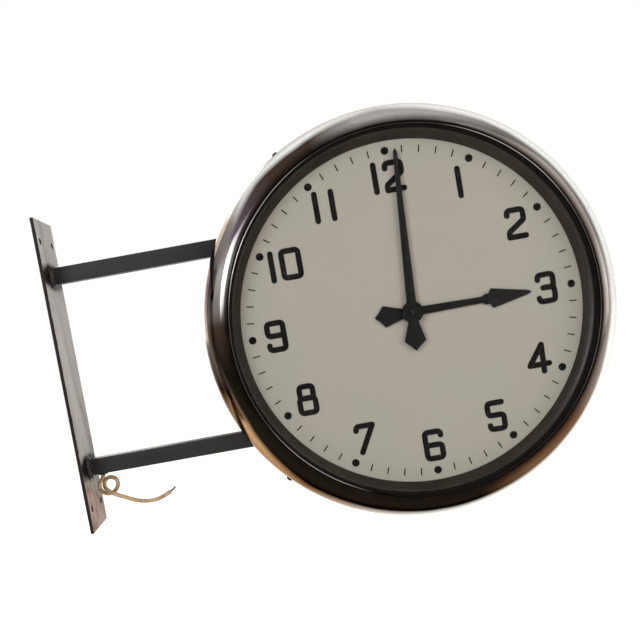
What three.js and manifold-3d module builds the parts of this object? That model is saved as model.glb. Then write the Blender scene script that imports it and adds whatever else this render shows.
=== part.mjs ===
// Double sided station clock. A copper drum with a dial on each side hangs off a
// wall plate on two square arms. Behind each dial a slave movement, stepped once
// a minute, turns the hands.
// Millimetres, +Z up. Origin: middle of the wall plate's back face. +X points out
// of the wall, and the front dial looks along -Y.

import * as THREE from 'three';
import { mergeVertices } from 'three/addons/utils/BufferGeometryUtils.js';
import Module from 'manifold-3d';

// ------------------------------------------------------------- driving sizes

const gap = 0.3;              // between two pieces that touch

// Wall plate
const plateThick = 5;
const plateWide = 100;
const plateTall = 480;
const plateHoleR = 4.5;
const plateHoleY = 33;        // hole centres, from the plate's middle
const plateHoleZ = 205.5;

// Arms, square tube, welded to the plate
const armSide = 25;
const armWall = 2;
const armCorner = 2;
const armPitch = 299;         // between the two arms' middles
const armReach = 523;         // plate's outer face to the dial's axis
const armInside = 16;         // stands this far into the drum
const armPlay = 0.3;          // arm to the case's square hole
const weldLeg = 6;
const dialRise = 4;           // dial's axis above the plate's middle

// Drum case, the straight middle of the drum
const caseSheet = 2;
const caseHalf = 27;          // half of its depth
const caseMouthLap = 2;       // its flanges' inner edge, inside the carriers' barrels
const ringSteps = 48;         // facets round the case and the bezels
const innerSteps = 36;        // facets round the rings inside them

// Dials and the sheet carriers behind them
const dialToMiddle = 66;      // dial's face to the drum's middle plane
const dialSheet = 2;
const dialOver = 1;           // dial's edge past the carrier's barrel
const dialHolePlay = 0.8;     // round the hour pipe
const dialSeenR = 250;        // what shows of the dial
const dialLap = 7;            // from there to the carrier's barrel
const carrierSheet = 1.5;
const carrierLedge = 15;
const carrierFoot = 13;

// Sloping ring between dial and glass
const ringRun = 11;
const ringTop = 12.2;         // above the dial's face
const ringSheet = 1.5;
const ringFlange = 7.5;

// Glass and its seal
const glassSeat = 3;          // glass over the ring's flange
const glassThick = 3;
const sealLap = 2;            // seal over the glass
const sealLean = 2.6;
const sealTall = 8.8;         // above the glass

// Bezel: bead, groove, rolled face and skirt
const bezelSheet = 1.5;
const bezelFit = 0.5;         // skirt round the case
const beadHalf = 1.3;
const beadRise = 2.2;
const grooveRun = 1.4;
const grooveRise = 1.3;
const crestRun = 0.4;
const crestRise = 1.6;
const rollWide = 39;          // from the crest out to the skirt
const rollFoot = 37.4;        // below the dial's face, where roll meets skirt
const skirtFoot = 52;
const skirtTurnIn = 1.5;      // rolled face starts this far outside its crest

// Bezel screws
const screwAngles = [30, -30, 135, -135];   // from twelve o'clock
const screwUp = 6.5;          // above the skirt's edge
const screwR = 2;
const screwHeadR = 4.2;
const screwHead = 2.4;
const screwLong = 7.3;

// Bar across the drum
const barWide = 40;
const barWeb = 6;
const barFoot = 5;
const barFootWide = 36;

// Terminal block on the bar's front
const blockWide = 36;
const blockTall = 24;
const blockDeep = 14.7;
const blockDown = 108;        // its middle below the dial's axis

// Movement plates and posts. Levels are below the dial's face.
const movePlate = 2;
const moveHalfWide = 50;
const moveUp = 42;
const moveDown = 82;
const frontPlateTop = 14;
const backPlateTop = 44;
const pillarR = 3;
const pillarX = 45;
const pillarUp = 37;
const pillarDown = 77;
const postR = 5;
const postUp = 34;
const postDown = 74;
const studR = 1.5;

// Minute arbor, ratchet wheel and clicks
const arborR = 2;
const arborTail = 46.5;
const arborNose = 11.5;       // above the dial's face
const collarR = 4;
const collarTall = 2.7;
const ratchetTeeth = 60;
const ratchetTipR = 26;
const ratchetRootR = 24.4;
const ratchetTop = 22;
const ratchetThick = 2;
const clickPlay = 0.35;       // click's point off the teeth
const clickThick = 2;
const clickBar = 3.6;
const driveClick = [-38, 30]; // pivot, from the dial's axis
const driveBeak = [9.63, 24.51];
const backClick = [38, 14];
const backBeakAngle = 4;      // degrees above three o'clock

// Armature
const armPivot = [-32, -70];
const armPivotR = 2;
const armBossR = 5;
const leverWide = 6;
const leverTop = 24.5;
const leverThick = 5;
const poleGap = 1;
const poleThick = 3;
const poleHalf = 14;
const poleDeep = 11.5;

// Coil, core and yoke
const coilUp = -44;           // its axis, from the dial's axis
const coilLevel = 30;
const coilR = 11;
const windingR = 9.8;
const coilLeft = -16;
const coilLong = 44;
const coilCheek = 1.5;
const coreR = 4;
const coreLeft = -20;
const yokeThick = 4;
const yokeDrop = 31;          // coil's axis to the yoke's outer face
const yokeWide = 19.7;
const yokeLeft = -24;

// Motion work
const gearModule = 1.2;
const gearSlack = 0.3;        // taken off each tooth's thickness
const cannonTeeth = 10;
const minuteTeeth = 30;
const pinionTeeth = 8;
const hourTeeth = 32;
const meshAngle = 45;         // from three o'clock to the minute wheel's stud
const cannonTop = 9.5;
const cannonTall = 3.5;
const cannonPipeR = 3.6;
const cannonNose = 7.1;       // above the dial's face
const minuteTop = 10.7;
const minuteThick = 2;
const pinionTop = 5.5;
const studTop = 4;
const hourTop = 6;
const hourThick = 2;
const hourPipeWall = 1.5;
const hourNose = 3.8;

// Hands. Each row is a distance from the axis and a half width there.
const handEdge = 0.8;
const handRidge = 1.8;
const hourFoot = 2;
const hourAngle = 90.28;      // degrees past twelve
const hourShape = [
  [-54.5, 0.3], [-47.5, 7.2], [-40.6, 15.8], [-15, 7.8], [0, 6.5], [104, 4.6], [108, 7.8],
  [114.5, 7.8], [118.4, 14.5], [170.8, 3.1], [174.4, 1.4], [175.9, 0.3],
];
const minuteFoot = 5.6;
const minuteAngle = 3.3;
const minuteShape = [
  [-56.6, 0.3], [-49.6, 7.2], [-42.2, 15.9], [-16, 7.9], [0, 7.3], [231.4, 3], [234.8, 1.5], [236.4, 0.3],
];
const hubR = 15.9;
const hubTop = 9;
const nutR = 5.2;
const nutTall = 2.5;

// Supply cable. The stub's points run from the hole in the lower arm's underside.
const cableR = 3.1;
const cableHoleX = 24;        // hole's centre, from the plate's back face
const cableHoleR = 6;
const cableBend = 10.5;
const grommetFlangeR = 7.5;
const grommetFlange = 2;
const grommetRise = 2.8;
const coreBundleR = 1.8;
const stubPoints = [
  [0, 0, 1.4], [0, 0, -1], [0, 0, -3.6], [-1.2, -0.9, -7.2], [-4.4, -2.4, -11.2], [-7.6, -2.8, -16.4],
  [-8.4, -1.6, -23.5], [-5.3, 0.4, -30.3], [1, 2.4, -34.2], [8, 3.5, -34], [14.5, 3.8, -30.3],
  [18.8, 3.6, -23.8], [19, 3.6, -16.6], [14.7, 3.8, -11.3], [8, 4.4, -9.6], [2.2, 4.6, -11.6],
  [-1.4, 3.4, -17], [-1, 0.6, -23.2], [3.2, -2.2, -28.6], [9.4, -3.6, -33.2], [16.5, -3.2, -37.8],
  [24.5, -2, -42.2], [35, -1, -47.8], [45.5, -0.4, -52.4], [57.5, 0, -55.7], [71, 0, -56.3],
  [84, 0, -53.9], [95.5, 0, -49.3], [98.9, 0, -47.5],
];
const bareEnd = [[99.2, 0, -47.3], [103.5, 0, -44.8], [106.8, 0, -42]];

// Colours
const copper = { color: 0x6e4a35, roughness: 0.3, metalness: 1 };
const blackPaint = { color: 0x2b2928, roughness: 0.45, metalness: 0.2 };
const greyPaint = { color: 0xa8a49c, roughness: 0.6, metalness: 0.2 };
const dialCream = { color: 0xa8a296, roughness: 0.55, metalness: 0 };
const steel = { color: 0x9a9a98, roughness: 0.35, metalness: 1 };
const brass = { color: 0xb08d4a, roughness: 0.35, metalness: 1 };
const handBlack = { color: 0x141416, roughness: 0.4, metalness: 0.1 };
const sealBlack = { color: 0x101010, roughness: 0.6, metalness: 0 };
const clearGlass = { color: 0xdfe6e4, roughness: 0.05, metalness: 0 };
const greenish = { color: 0x55513c, roughness: 0.2, metalness: 0.4 };
const cableTan = { color: 0x96826a, roughness: 0.7, metalness: 0 };
const bakelite = { color: 0x2a1c14, roughness: 0.4, metalness: 0 };
const windingRed = { color: 0x7a3b22, roughness: 0.6, metalness: 0.2 };
const bareCopper = { color: 0x6a625a, roughness: 0.5, metalness: 0.6 };

// ------------------------------------------------------------- derived sizes

const rad = Math.PI / 180;
const far = 60;               // long enough to cut right through
const carrierR = dialSeenR + dialLap;
const caseMouthR = carrierR - caseMouthLap;
const ringTopR = dialSeenR + ringRun;
const ringFlangeR = ringTopR + ringFlange;
const glassR = ringTopR + glassSeat;
const sealSeenR = glassR - sealLap;
const sealTopR = sealSeenR + sealLean;
const beadR = sealTopR + gap + beadHalf;
const grooveR = beadR + grooveRun;
const crestR = grooveR + crestRun;
const skirtR = crestR + rollWide;
const caseR = skirtR - bezelSheet - bezelFit;
const dialX = plateThick + armReach;
const dialZ = dialRise;
const caseInnerR = caseR - caseSheet;
const armEnd = Math.sqrt(caseInnerR ** 2 - ((armPitch + armSide) / 2) ** 2) - armInside;
const dialR = carrierR + dialOver;
const glassFoot = ringTop + gap;
const glassTop = glassFoot + glassThick;
const sealTop = glassTop + sealTall;
const lipFoot = sealTop + gap;
const facet = Math.cos(Math.PI / ringSteps);
const barReach = Math.sqrt((caseInnerR * facet - gap) ** 2 - (barWide / 2) ** 2) - 0.05;
const arborHoleR = arborR + gap;
const meshX = gearModule * (cannonTeeth + minuteTeeth) / 2 * Math.cos(meshAngle * rad);
const meshY = gearModule * (cannonTeeth + minuteTeeth) / 2 * Math.sin(meshAngle * rad);
const hourPipeR = cannonPipeR + gap + hourPipeWall;
const ratchetFoot = ratchetTop + ratchetThick;
const yokeFoot = backPlateTop - gap;
const coilRight = coilLeft + coilLong;

// ------------------------------------------------------------- solids

const wasm = await Module();
wasm.setup();

// Merge shared corners, drop slivers and turn the faces outward.
function weld(geometry) {
  const loose = geometry.index ? geometry.toNonIndexed() : geometry;
  const bare = new THREE.BufferGeometry();
  bare.setAttribute('position', loose.getAttribute('position').clone());
  const merged = mergeVertices(bare, 1e-4);
  const corners = merged.getAttribute('position');
  const order = merged.index.array;
  const kept = [];
  const a = new THREE.Vector3();
  const b = new THREE.Vector3();
  const c = new THREE.Vector3();
  let volume = 0;
  for (let i = 0; i < order.length; i += 3) {
    const [p, q, r] = [order[i], order[i + 1], order[i + 2]];
    if (p === q || q === r || r === p) continue;
    kept.push(p, q, r);
    a.fromBufferAttribute(corners, p);
    b.fromBufferAttribute(corners, q);
    c.fromBufferAttribute(corners, r);
    volume += a.dot(b.cross(c));
  }
  if (volume < 0) {
    for (let i = 0; i < kept.length; i += 3) [kept[i + 1], kept[i + 2]] = [kept[i + 2], kept[i + 1]];
  }
  merged.setIndex(kept);
  merged.computeVertexNormals();
  return merged;
}

function toSolid(geometry) {
  const tidy = weld(geometry);
  return new wasm.Manifold(new wasm.Mesh({
    numProp: 3,
    vertProperties: new Float32Array(tidy.getAttribute('position').array),
    triVerts: new Uint32Array(tidy.index.array),
  }));
}

function toGeometry(solid) {
  const mesh = solid.getMesh();
  const geometry = new THREE.BufferGeometry();
  geometry.setAttribute('position', new THREE.BufferAttribute(new Float32Array(mesh.vertProperties), 3));
  geometry.setIndex(new THREE.BufferAttribute(new Uint32Array(mesh.triVerts), 1));
  geometry.computeVertexNormals();
  return geometry;
}

function join(...geometries) {
  return toGeometry(geometries.map(toSolid).reduce((sum, next) => sum.add(next)));
}

function cut(geometry, ...tools) {
  return toGeometry(tools.map(toSolid).reduce((rest, tool) => rest.subtract(tool), toSolid(geometry)));
}

// Ring about the dial's axis. Profile rows are [radius, height above the dial].
function revolve(profile, steps = ringSteps) {
  const line = profile.map(([r, w]) => new THREE.Vector2(r, w));
  if (profile[0][0] > 0) line.push(line[0].clone());
  const geometry = new THREE.LatheGeometry(line, steps);
  geometry.rotateX(Math.PI / 2);
  return weld(geometry);
}

// Flat outline raised from height w0 to w1.
function slab(shape, w0, w1, curveSegments = 12) {
  const geometry = new THREE.ExtrudeGeometry(shape, { depth: w1 - w0, bevelEnabled: false, curveSegments });
  geometry.translate(0, 0, w0);
  return weld(geometry);
}

function outline(points) {
  return new THREE.Shape(points.map(([x, y]) => new THREE.Vector2(x, y)));
}

function rectangle(x0, y0, x1, y1) {
  return outline([[x0, y0], [x1, y0], [x1, y1], [x0, y1]]);
}

function box(x0, y0, z0, x1, y1, z1) {
  const geometry = new THREE.BoxGeometry(x1 - x0, y1 - y0, z1 - z0);
  geometry.translate((x0 + x1) / 2, (y0 + y1) / 2, (z0 + z1) / 2);
  return weld(geometry);
}

// Round bar along the dial's axis.
function post(x, y, r, w0, w1, steps = 12) {
  const geometry = new THREE.CylinderGeometry(r, r, w1 - w0, steps);
  geometry.rotateX(Math.PI / 2);
  geometry.translate(x, y, (w0 + w1) / 2);
  return weld(geometry);
}

// Square with rounded corners.
function roundedSquare(side, corner) {
  const h = side / 2;
  const shape = new THREE.Shape();
  for (let i = 0; i < 4; i += 1) {
    const angle = i * 90 * rad;
    const x = (h - corner) * Math.SQRT2 * Math.cos(angle + Math.PI / 4);
    const y = (h - corner) * Math.SQRT2 * Math.sin(angle + Math.PI / 4);
    shape.absarc(x, y, corner, angle, angle + Math.PI / 2, false);
  }
  return shape;
}

// Round bar swept along a line of points. Its steps are even along the line, or
// where evenSpans is set, even between each point and the next.
function sweep(points, r, sides, steps, evenSpans = false) {
  const corners = [];
  for (let i = 0; i < sides; i += 1) {
    const angle = (i + 0.5) * 2 * Math.PI / sides;
    corners.push([r * Math.cos(angle), r * Math.sin(angle)]);
  }
  const path = cablePath(points);
  if (evenSpans) path.getUtoTmapping = (u) => u;
  return weld(new THREE.ExtrudeGeometry(outline(corners), { steps, bevelEnabled: false, extrudePath: path }));
}

function cablePath(points) {
  const path = new THREE.CatmullRomCurve3(points.map(([x, y, z]) => new THREE.Vector3(x, y, z)), false, 'centripetal');
  path.arcLengthDivisions = 1200;
  return path;
}

// Spur gear outline with the middle of one tooth at the phase angle.
function gearOutline(teeth, addendum, phase, flank = 1) {
  const pitchR = gearModule * teeth / 2;
  const baseR = pitchR * Math.cos(20 * rad);
  const tipR = pitchR + addendum * gearModule;
  const rootR = pitchR - 1.1 * gearModule;
  const half = (Math.PI * gearModule / 2 - gearSlack) / 2 / pitchR;
  const involute = (r) => {
    const a = Math.acos(Math.min(1, baseR / Math.max(r, baseR)));
    return Math.tan(a) - a;
  };
  const spread = (r) => half + involute(pitchR) - involute(r);
  const startR = Math.max(rootR, baseR);
  const radii = [rootR];
  if (startR > rootR + 0.3 * gearModule) radii.push(startR);
  for (let i = 1; i <= flank; i += 1) radii.push(startR + (tipR - startR) * i / flank);
  const points = [];
  for (let t = 0; t < teeth; t += 1) {
    const middle = phase + t * 2 * Math.PI / teeth;
    radii.forEach((r) => points.push([r * Math.cos(middle - spread(r)), r * Math.sin(middle - spread(r))]));
    [...radii].reverse().forEach((r) => points.push([
      r * Math.cos(middle + spread(r)), r * Math.sin(middle + spread(r))]));
  }
  return points;
}

function ratchetOutline() {
  const points = [];
  for (let t = 0; t < ratchetTeeth; t += 1) {
    const a = -t * 2 * Math.PI / ratchetTeeth;
    const b = a - 0.85 * 2 * Math.PI / ratchetTeeth;
    points.push([ratchetTipR * Math.cos(a), ratchetTipR * Math.sin(a)]);
    points.push([ratchetRootR * Math.cos(b), ratchetRootR * Math.sin(b)]);
  }
  return points.reverse();
}

// Hand: a shallow roof section drawn along its length, pointing to twelve.
function handBody(rows, foot) {
  const corners = [];
  const faces = [];
  rows.forEach(([along, half]) => {
    const edge = foot + handEdge;
    corners.push(-half, along, foot, half, along, foot, half, along, edge);
    corners.push(0, along, foot + handRidge, -half, along, edge);
  });
  for (let i = 0; i + 1 < rows.length; i += 1) {
    for (let j = 0; j < 5; j += 1) {
      const p = i * 5 + j;
      const q = i * 5 + (j + 1) % 5;
      faces.push(p, q, p + 5, q, q + 5, p + 5);
    }
  }
  const last = (rows.length - 1) * 5;
  for (let j = 1; j < 4; j += 1) {
    faces.push(0, j + 1, j, last, last + j, last + j + 1);
  }
  const geometry = new THREE.BufferGeometry();
  geometry.setAttribute('position', new THREE.BufferAttribute(new Float32Array(corners), 3));
  geometry.setIndex(faces);
  return weld(geometry);
}

function mesh(name, geometry, look) {
  const result = new THREE.Mesh(geometry, new THREE.MeshStandardMaterial(look));
  result.name = name;
  return result;
}

// Straight bar with round ends, in the plane of the dial.
function link(from, to, wide, w0, w1) {
  const [dx, dy] = [to[0] - from[0], to[1] - from[1]];
  const long = Math.hypot(dx, dy);
  const [nx, ny] = [-dy / long * wide / 2, dx / long * wide / 2];
  return slab(outline([
    [from[0] + nx, from[1] + ny], [from[0] - nx, from[1] - ny],
    [to[0] - nx, to[1] - ny], [to[0] + nx, to[1] + ny],
  ]), w0, w1);
}

// ------------------------------------------------------------- wall plate and arms

const clock = new THREE.Group();

const plateShape = rectangle(-plateWide / 2, -plateTall / 2, plateWide / 2, plateTall / 2);
for (const y of [-plateHoleY, plateHoleY]) {
  for (const z of [-plateHoleZ, plateHoleZ]) {
    const hole = new THREE.Path();
    hole.absarc(y, z, plateHoleR, 0, 2 * Math.PI, true);
    plateShape.holes.push(hole);
  }
}
const plate = mesh('wall_plate', slab(plateShape, 0, plateThick, 8), greyPaint);
plate.rotation.set(Math.PI / 2, 0, Math.PI / 2, 'ZYX');
clock.add(plate);

// Each arm runs along its own z before it is laid over. The weld bead round its
// foot is one piece with it.
function armGeometry() {
  const long = dialX - armEnd - plateThick - gap;
  const tube = roundedSquare(armSide, armCorner);
  const bore = roundedSquare(armSide - 2 * armWall, Math.max(armCorner - armWall, 0.4));
  const bead = new THREE.CylinderGeometry(armSide / Math.SQRT2, (armSide + 2 * weldLeg) / Math.SQRT2, weldLeg, 4);
  bead.rotateY(Math.PI / 4);
  bead.rotateX(Math.PI / 2);
  bead.translate(0, 0, weldLeg / 2);
  return cut(join(slab(tube, 0, long, 3), bead), slab(bore, -1, long + 1, 2));
}

const armHeights = { upper_arm: armPitch / 2, lower_arm: -armPitch / 2 };
for (const [name, height] of Object.entries(armHeights)) {
  const body = armGeometry();
  body.rotateY(Math.PI / 2);
  body.translate(plateThick + gap, 0, dialZ + height);
  if (name === 'lower_arm') {
    const tool = new THREE.CylinderGeometry(cableHoleR, cableHoleR, armWall * 3, 12);
    tool.rotateX(Math.PI / 2);
    tool.translate(cableHoleX, 0, dialZ + height - armSide / 2 + armWall / 2);
    clock.add(mesh(name, cut(body, tool), blackPaint));
  } else {
    clock.add(mesh(name, body, blackPaint));
  }
}

// ------------------------------------------------------------- middle of the drum

// In this group x is to the right, y is up and z comes out of the front dial.
const drum = new THREE.Group();
drum.position.set(dialX, 0, dialZ);
drum.rotation.x = Math.PI / 2;
clock.add(drum);

const screwLevel = dialToMiddle - skirtFoot + screwUp;

function radialPost(angle, r, from, to, level, steps = 6) {
  const geometry = new THREE.CylinderGeometry(r, r, to - from, steps);
  geometry.translate(0, (from + to) / 2, 0);
  geometry.rotateZ(-angle * rad);
  geometry.translate(0, 0, level);
  return weld(geometry);
}

const caseRing = revolve([
  [caseMouthR, caseHalf], [caseR, caseHalf], [caseR, -caseHalf], [caseMouthR, -caseHalf],
  [caseMouthR, caseSheet - caseHalf], [caseInnerR, caseSheet - caseHalf],
  [caseInnerR, caseHalf - caseSheet], [caseMouthR, caseHalf - caseSheet],
]);
const caseCuts = [];
for (const angle of screwAngles) {
  for (const level of [screwLevel, -screwLevel]) {
    caseCuts.push(radialPost(angle, screwR + gap, caseInnerR - 5, caseR + 5, level));
  }
}
for (const height of Object.values(armHeights)) {
  const h = armSide / 2 + armPlay;
  caseCuts.push(box(-caseR - 5, height - h, -h, -armEnd - 1, height + h, h));
}
drum.add(mesh('drum_case', cut(caseRing, ...caseCuts), copper));

const barHalf = barWeb / 2;
const footHalf = barFootWide / 2;
const barShape = outline([
  [-footHalf, -barReach], [footHalf, -barReach], [footHalf, barFoot - barReach], [barHalf, barFoot - barReach],
  [barHalf, barReach - barFoot], [footHalf, barReach - barFoot], [footHalf, barReach], [-footHalf, barReach],
  [-footHalf, barReach - barFoot], [-barHalf, barReach - barFoot],
  [-barHalf, barFoot - barReach], [-footHalf, barFoot - barReach],
]);
const bar = slab(barShape, -barWide / 2, barWide / 2);
bar.rotateY(Math.PI / 2);
drum.add(mesh('movement_bar', bar, steel));

const blockFoot = barHalf + gap;
drum.add(mesh('terminal_block', box(
  -blockWide / 2, -blockDown - blockTall / 2, blockFoot,
  blockWide / 2, -blockDown + blockTall / 2, blockFoot + blockDeep,
), bakelite));

// Supply cable from the hole in the lower arm to the terminal block.
const holeX = cableHoleX - dialX;
const armY = -armPitch / 2;
const bendFoot = armY - armSide / 2 + armWall;
const bendStart = bendFoot + grommetRise - armWall + 1.4;
const bendPoint = (angle) => [
  holeX + cableBend * (1 - Math.cos(angle * rad)), bendStart + (armY - bendStart) * Math.sin(angle * rad), 0];
const leadFrom = [-armEnd, armY, 0];
const leadTo = [-blockWide / 2 - gap, -blockDown, blockFoot + blockDeep / 2];
const leadPoint = (along) => {
  const ease = along * along * (3 - 2 * along);
  return [
    leadFrom[0] + (leadTo[0] - leadFrom[0]) * along, leadFrom[1] + (leadTo[1] - leadFrom[1]) * ease,
    leadFrom[2] + (leadTo[2] - leadFrom[2]) * ease];
};
const leadPoints = [
  [holeX, bendFoot - gap, 0], [holeX, bendFoot + 0.8, 0], bendPoint(0), bendPoint(30), bendPoint(60),
  bendPoint(90), [holeX + 3 * cableBend, armY, 0], leadFrom, leadPoint(0.1), leadPoint(0.3), leadPoint(0.5),
  leadPoint(0.7), leadPoint(0.9), leadTo,
];
drum.add(mesh('supply_lead', sweep(leadPoints, cableR, 6, 3 * (leadPoints.length - 1), true), cableTan));

// Rubber grommet and the free stub of cable below it.
const stub = new THREE.Group();
stub.position.set(cableHoleX, 0, dialZ - armPitch / 2 - armSide / 2);
clock.add(stub);
stub.add(mesh('cable_grommet', revolve([
  [cableR + gap, grommetRise], [cableHoleR - gap, grommetRise], [cableHoleR - gap, -gap],
  [grommetFlangeR, -gap], [grommetFlangeR, -gap - grommetFlange], [cableR + gap, -gap - grommetFlange],
], 12), sealBlack));
stub.add(mesh('supply_cable', sweep(stubPoints, cableR, 6, 80), cableTan));
stub.add(mesh('cable_cores', sweep(bareEnd, coreBundleR, 6, 5), bareCopper));

// Least gap between two turns of the stub, at least 20 mm apart along it.
function leastGap(points, r) {
  const path = cablePath(points);
  const places = path.getSpacedPoints(400);
  const skip = Math.ceil(20 / path.getLength() * 400);
  let least = Infinity;
  for (let i = 0; i < places.length; i += 1) {
    for (let j = i + skip; j < places.length; j += 1) least = Math.min(least, places[i].distanceTo(places[j]));
  }
  return least - 2 * r;
}
console.log(`least gap of the cable's loop to itself: ${leastGap(stubPoints, cableR).toFixed(2)} mm`);

// ------------------------------------------------------------- one side of the clock

// In a side's group x is to the right, y is up and z comes out of its dial, with
// z = 0 on the dial's face. The rear side is the front one turned half round.
function side(prefix, turn) {
  const round = new THREE.Group();
  round.position.set(dialX, 0, dialZ);
  round.rotation.z = turn;
  const face = new THREE.Group();
  face.position.set(0, -dialToMiddle, 0);
  face.rotation.x = Math.PI / 2;
  round.add(face);
  clock.add(round);
  const put = (name, geometry, look, angle = 0) => {
    const part = mesh(`${prefix}_${name}`, geometry, look);
    part.rotation.z = -angle * rad;
    face.add(part);
  };

  // Carrier, dial and sloping ring.
  const ledge = -dialSheet - gap;
  const barrelFoot = caseHalf + gap - dialToMiddle;
  put('dial_carrier', revolve([
    [carrierR - carrierLedge, ledge], [carrierR, ledge], [carrierR, barrelFoot + carrierSheet],
    [carrierR + carrierFoot, barrelFoot + carrierSheet], [carrierR + carrierFoot, barrelFoot],
    [carrierR - carrierSheet, barrelFoot], [carrierR - carrierSheet, ledge - carrierSheet],
    [carrierR - carrierLedge, ledge - carrierSheet],
  ], innerSteps), steel);
  put('dial', cut(
    post(0, 0, dialR, -dialSheet, 0, innerSteps), post(0, 0, hourPipeR + dialHolePlay, -2 * dialSheet, dialSheet),
  ), dialCream);
  const lean = (ringTopR - dialSeenR) / (ringTop - gap);
  const ringWide = ringSheet * Math.hypot(1, lean);
  put('dial_ring', revolve([
    [dialSeenR, gap], [ringTopR, ringTop], [ringFlangeR, ringTop], [ringFlangeR, ringTop - ringSheet],
    [ringTopR + ringWide - lean * ringSheet, ringTop - ringSheet], [dialSeenR + ringWide, gap],
  ], innerSteps), greenish);

  // Glass, seal and bezel.
  put('glass', post(0, 0, glassR, glassFoot, glassTop, innerSteps), clearGlass);
  put('glass_seal', revolve([
    [sealSeenR, glassTop + gap], [sealTopR, sealTop], [ringFlangeR, sealTop], [ringFlangeR, glassFoot],
    [glassR + gap, glassFoot], [glassR + gap, glassTop + gap],
  ], innerSteps), sealBlack);
  const crest = lipFoot + crestRise;
  const roll = (angle, inset) => [
    crestR + (skirtR - crestR - inset) * Math.sin(angle * rad),
    -rollFoot + (crest + rollFoot - inset) * Math.cos(angle * rad),
  ];
  const bezelRing = revolve([
    [sealTopR + gap, lipFoot], [beadR, lipFoot + beadRise], [grooveR, lipFoot + grooveRise],
    roll(12, 0), roll(35, 0), roll(60, 0), roll(90, 0),
    [skirtR, -skirtFoot], [skirtR - bezelSheet, -skirtFoot],
    roll(90, bezelSheet), roll(48, bezelSheet), [crestR + skirtTurnIn, lipFoot],
  ]);
  const screwHeight = screwUp - skirtFoot;
  const bezelHoles = screwAngles.map((angle) => radialPost(angle, screwR + gap, caseR - 5, skirtR + 5, screwHeight));
  put('bezel', cut(bezelRing, ...bezelHoles), copper);
  screwAngles.forEach((angle, i) => {
    const under = skirtR + gap;
    put(`bezel_screw_${i + 1}`, join(
      radialPost(angle, screwR, under - screwLong, under + screwHead / 2, screwHeight),
      radialPost(angle, screwHeadR, under, under + screwHead, screwHeight, 10),
    ), copper);
  });

  // Movement plates. The back plate carries the pillars, posts and two studs.
  const plateHole = post(0, 0, arborHoleR, -far, 0);
  const backFoot = -backPlateTop - movePlate;
  const frontFoot = -frontPlateTop - movePlate;
  const plateSheet = rectangle(-moveHalfWide, -moveDown, moveHalfWide, moveUp);
  const postEnd = barHalf + gap - dialToMiddle;
  const pillars = [];
  for (const x of [-pillarX, pillarX]) {
    for (const y of [pillarUp, -pillarDown]) {
      pillars.push(post(x, y, pillarR, -backPlateTop - movePlate / 2, frontFoot - gap, 6));
    }
  }
  const clickTop = -ratchetTop + 1.5;
  put('back_plate', cut(join(
    slab(plateSheet, backFoot, -backPlateTop), ...pillars,
    post(0, postUp, postR, postEnd, -backPlateTop - movePlate / 2, 8),
    post(0, -postDown, postR, postEnd, -backPlateTop - movePlate / 2, 8),
    post(armPivot[0], armPivot[1], armPivotR, -backPlateTop - movePlate / 2, -ratchetTop, 8),
    post(backClick[0], backClick[1], studR, -backPlateTop - movePlate / 2, clickTop, 8),
  ), plateHole), brass);
  put('front_plate', cut(join(
    slab(plateSheet, frontFoot, -frontPlateTop),
    post(meshX, meshY, studR, -frontPlateTop - movePlate / 2, -studTop, 8),
  ), plateHole), brass);

  // Coil, core and yoke.
  const coil = new THREE.LatheGeometry([
    [coreR + gap, coilLeft], [coilR, coilLeft], [coilR, coilLeft + coilCheek], [windingR, coilLeft + coilCheek],
    [windingR, coilRight - coilCheek], [coilR, coilRight - coilCheek], [coilR, coilRight],
    [coreR + gap, coilRight], [coreR + gap, coilLeft],
  ].map(([r, x]) => new THREE.Vector2(r, x)), 10);
  coil.rotateZ(-Math.PI / 2);
  coil.translate(0, coilUp, -coilLevel);
  put('coil', weld(coil), windingRed);
  const legLeft = coilRight + yokeThick;
  const core = new THREE.CylinderGeometry(coreR, coreR, legLeft + yokeThick / 2 - coreLeft, 12);
  core.rotateZ(Math.PI / 2);
  core.translate((coreLeft + legLeft + yokeThick / 2) / 2, coilUp, -coilLevel);
  const yokeLow = coilUp - yokeDrop;
  put('core_yoke', join(
    core,
    box(yokeLeft, yokeLow, -yokeFoot, legLeft + yokeThick, yokeLow + yokeThick, yokeWide - yokeFoot),
    box(legLeft, yokeLow, -yokeFoot, legLeft + yokeThick, coilUp + coreR + 2, yokeWide - yokeFoot),
  ), steel);

  // Armature on its stud, with the pole plate in front of the core.
  const leverFoot = -leverTop - leverThick;
  const poleRight = coreLeft - poleGap;
  put('armature', cut(join(
    link(armPivot, driveClick, leverWide, leverFoot, -leverTop),
    post(armPivot[0], armPivot[1], armBossR, leverFoot, -leverTop),
    post(driveClick[0], driveClick[1], leverWide / 2 + 0.6, leverFoot, -leverTop),
    post(driveClick[0], driveClick[1], studR, leverFoot, clickTop, 8),
    box(armPivot[0] - 2, coilUp - 4, leverFoot, poleRight - 1, coilUp + 4, -leverTop),
    box(poleRight - poleThick, coilUp - poleHalf - 2, -leverTop - poleDeep, poleRight, coilUp + poleHalf - 2, -leverTop),
  ), post(armPivot[0], armPivot[1], armPivotR + gap, -far, 0)), steel);

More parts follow.
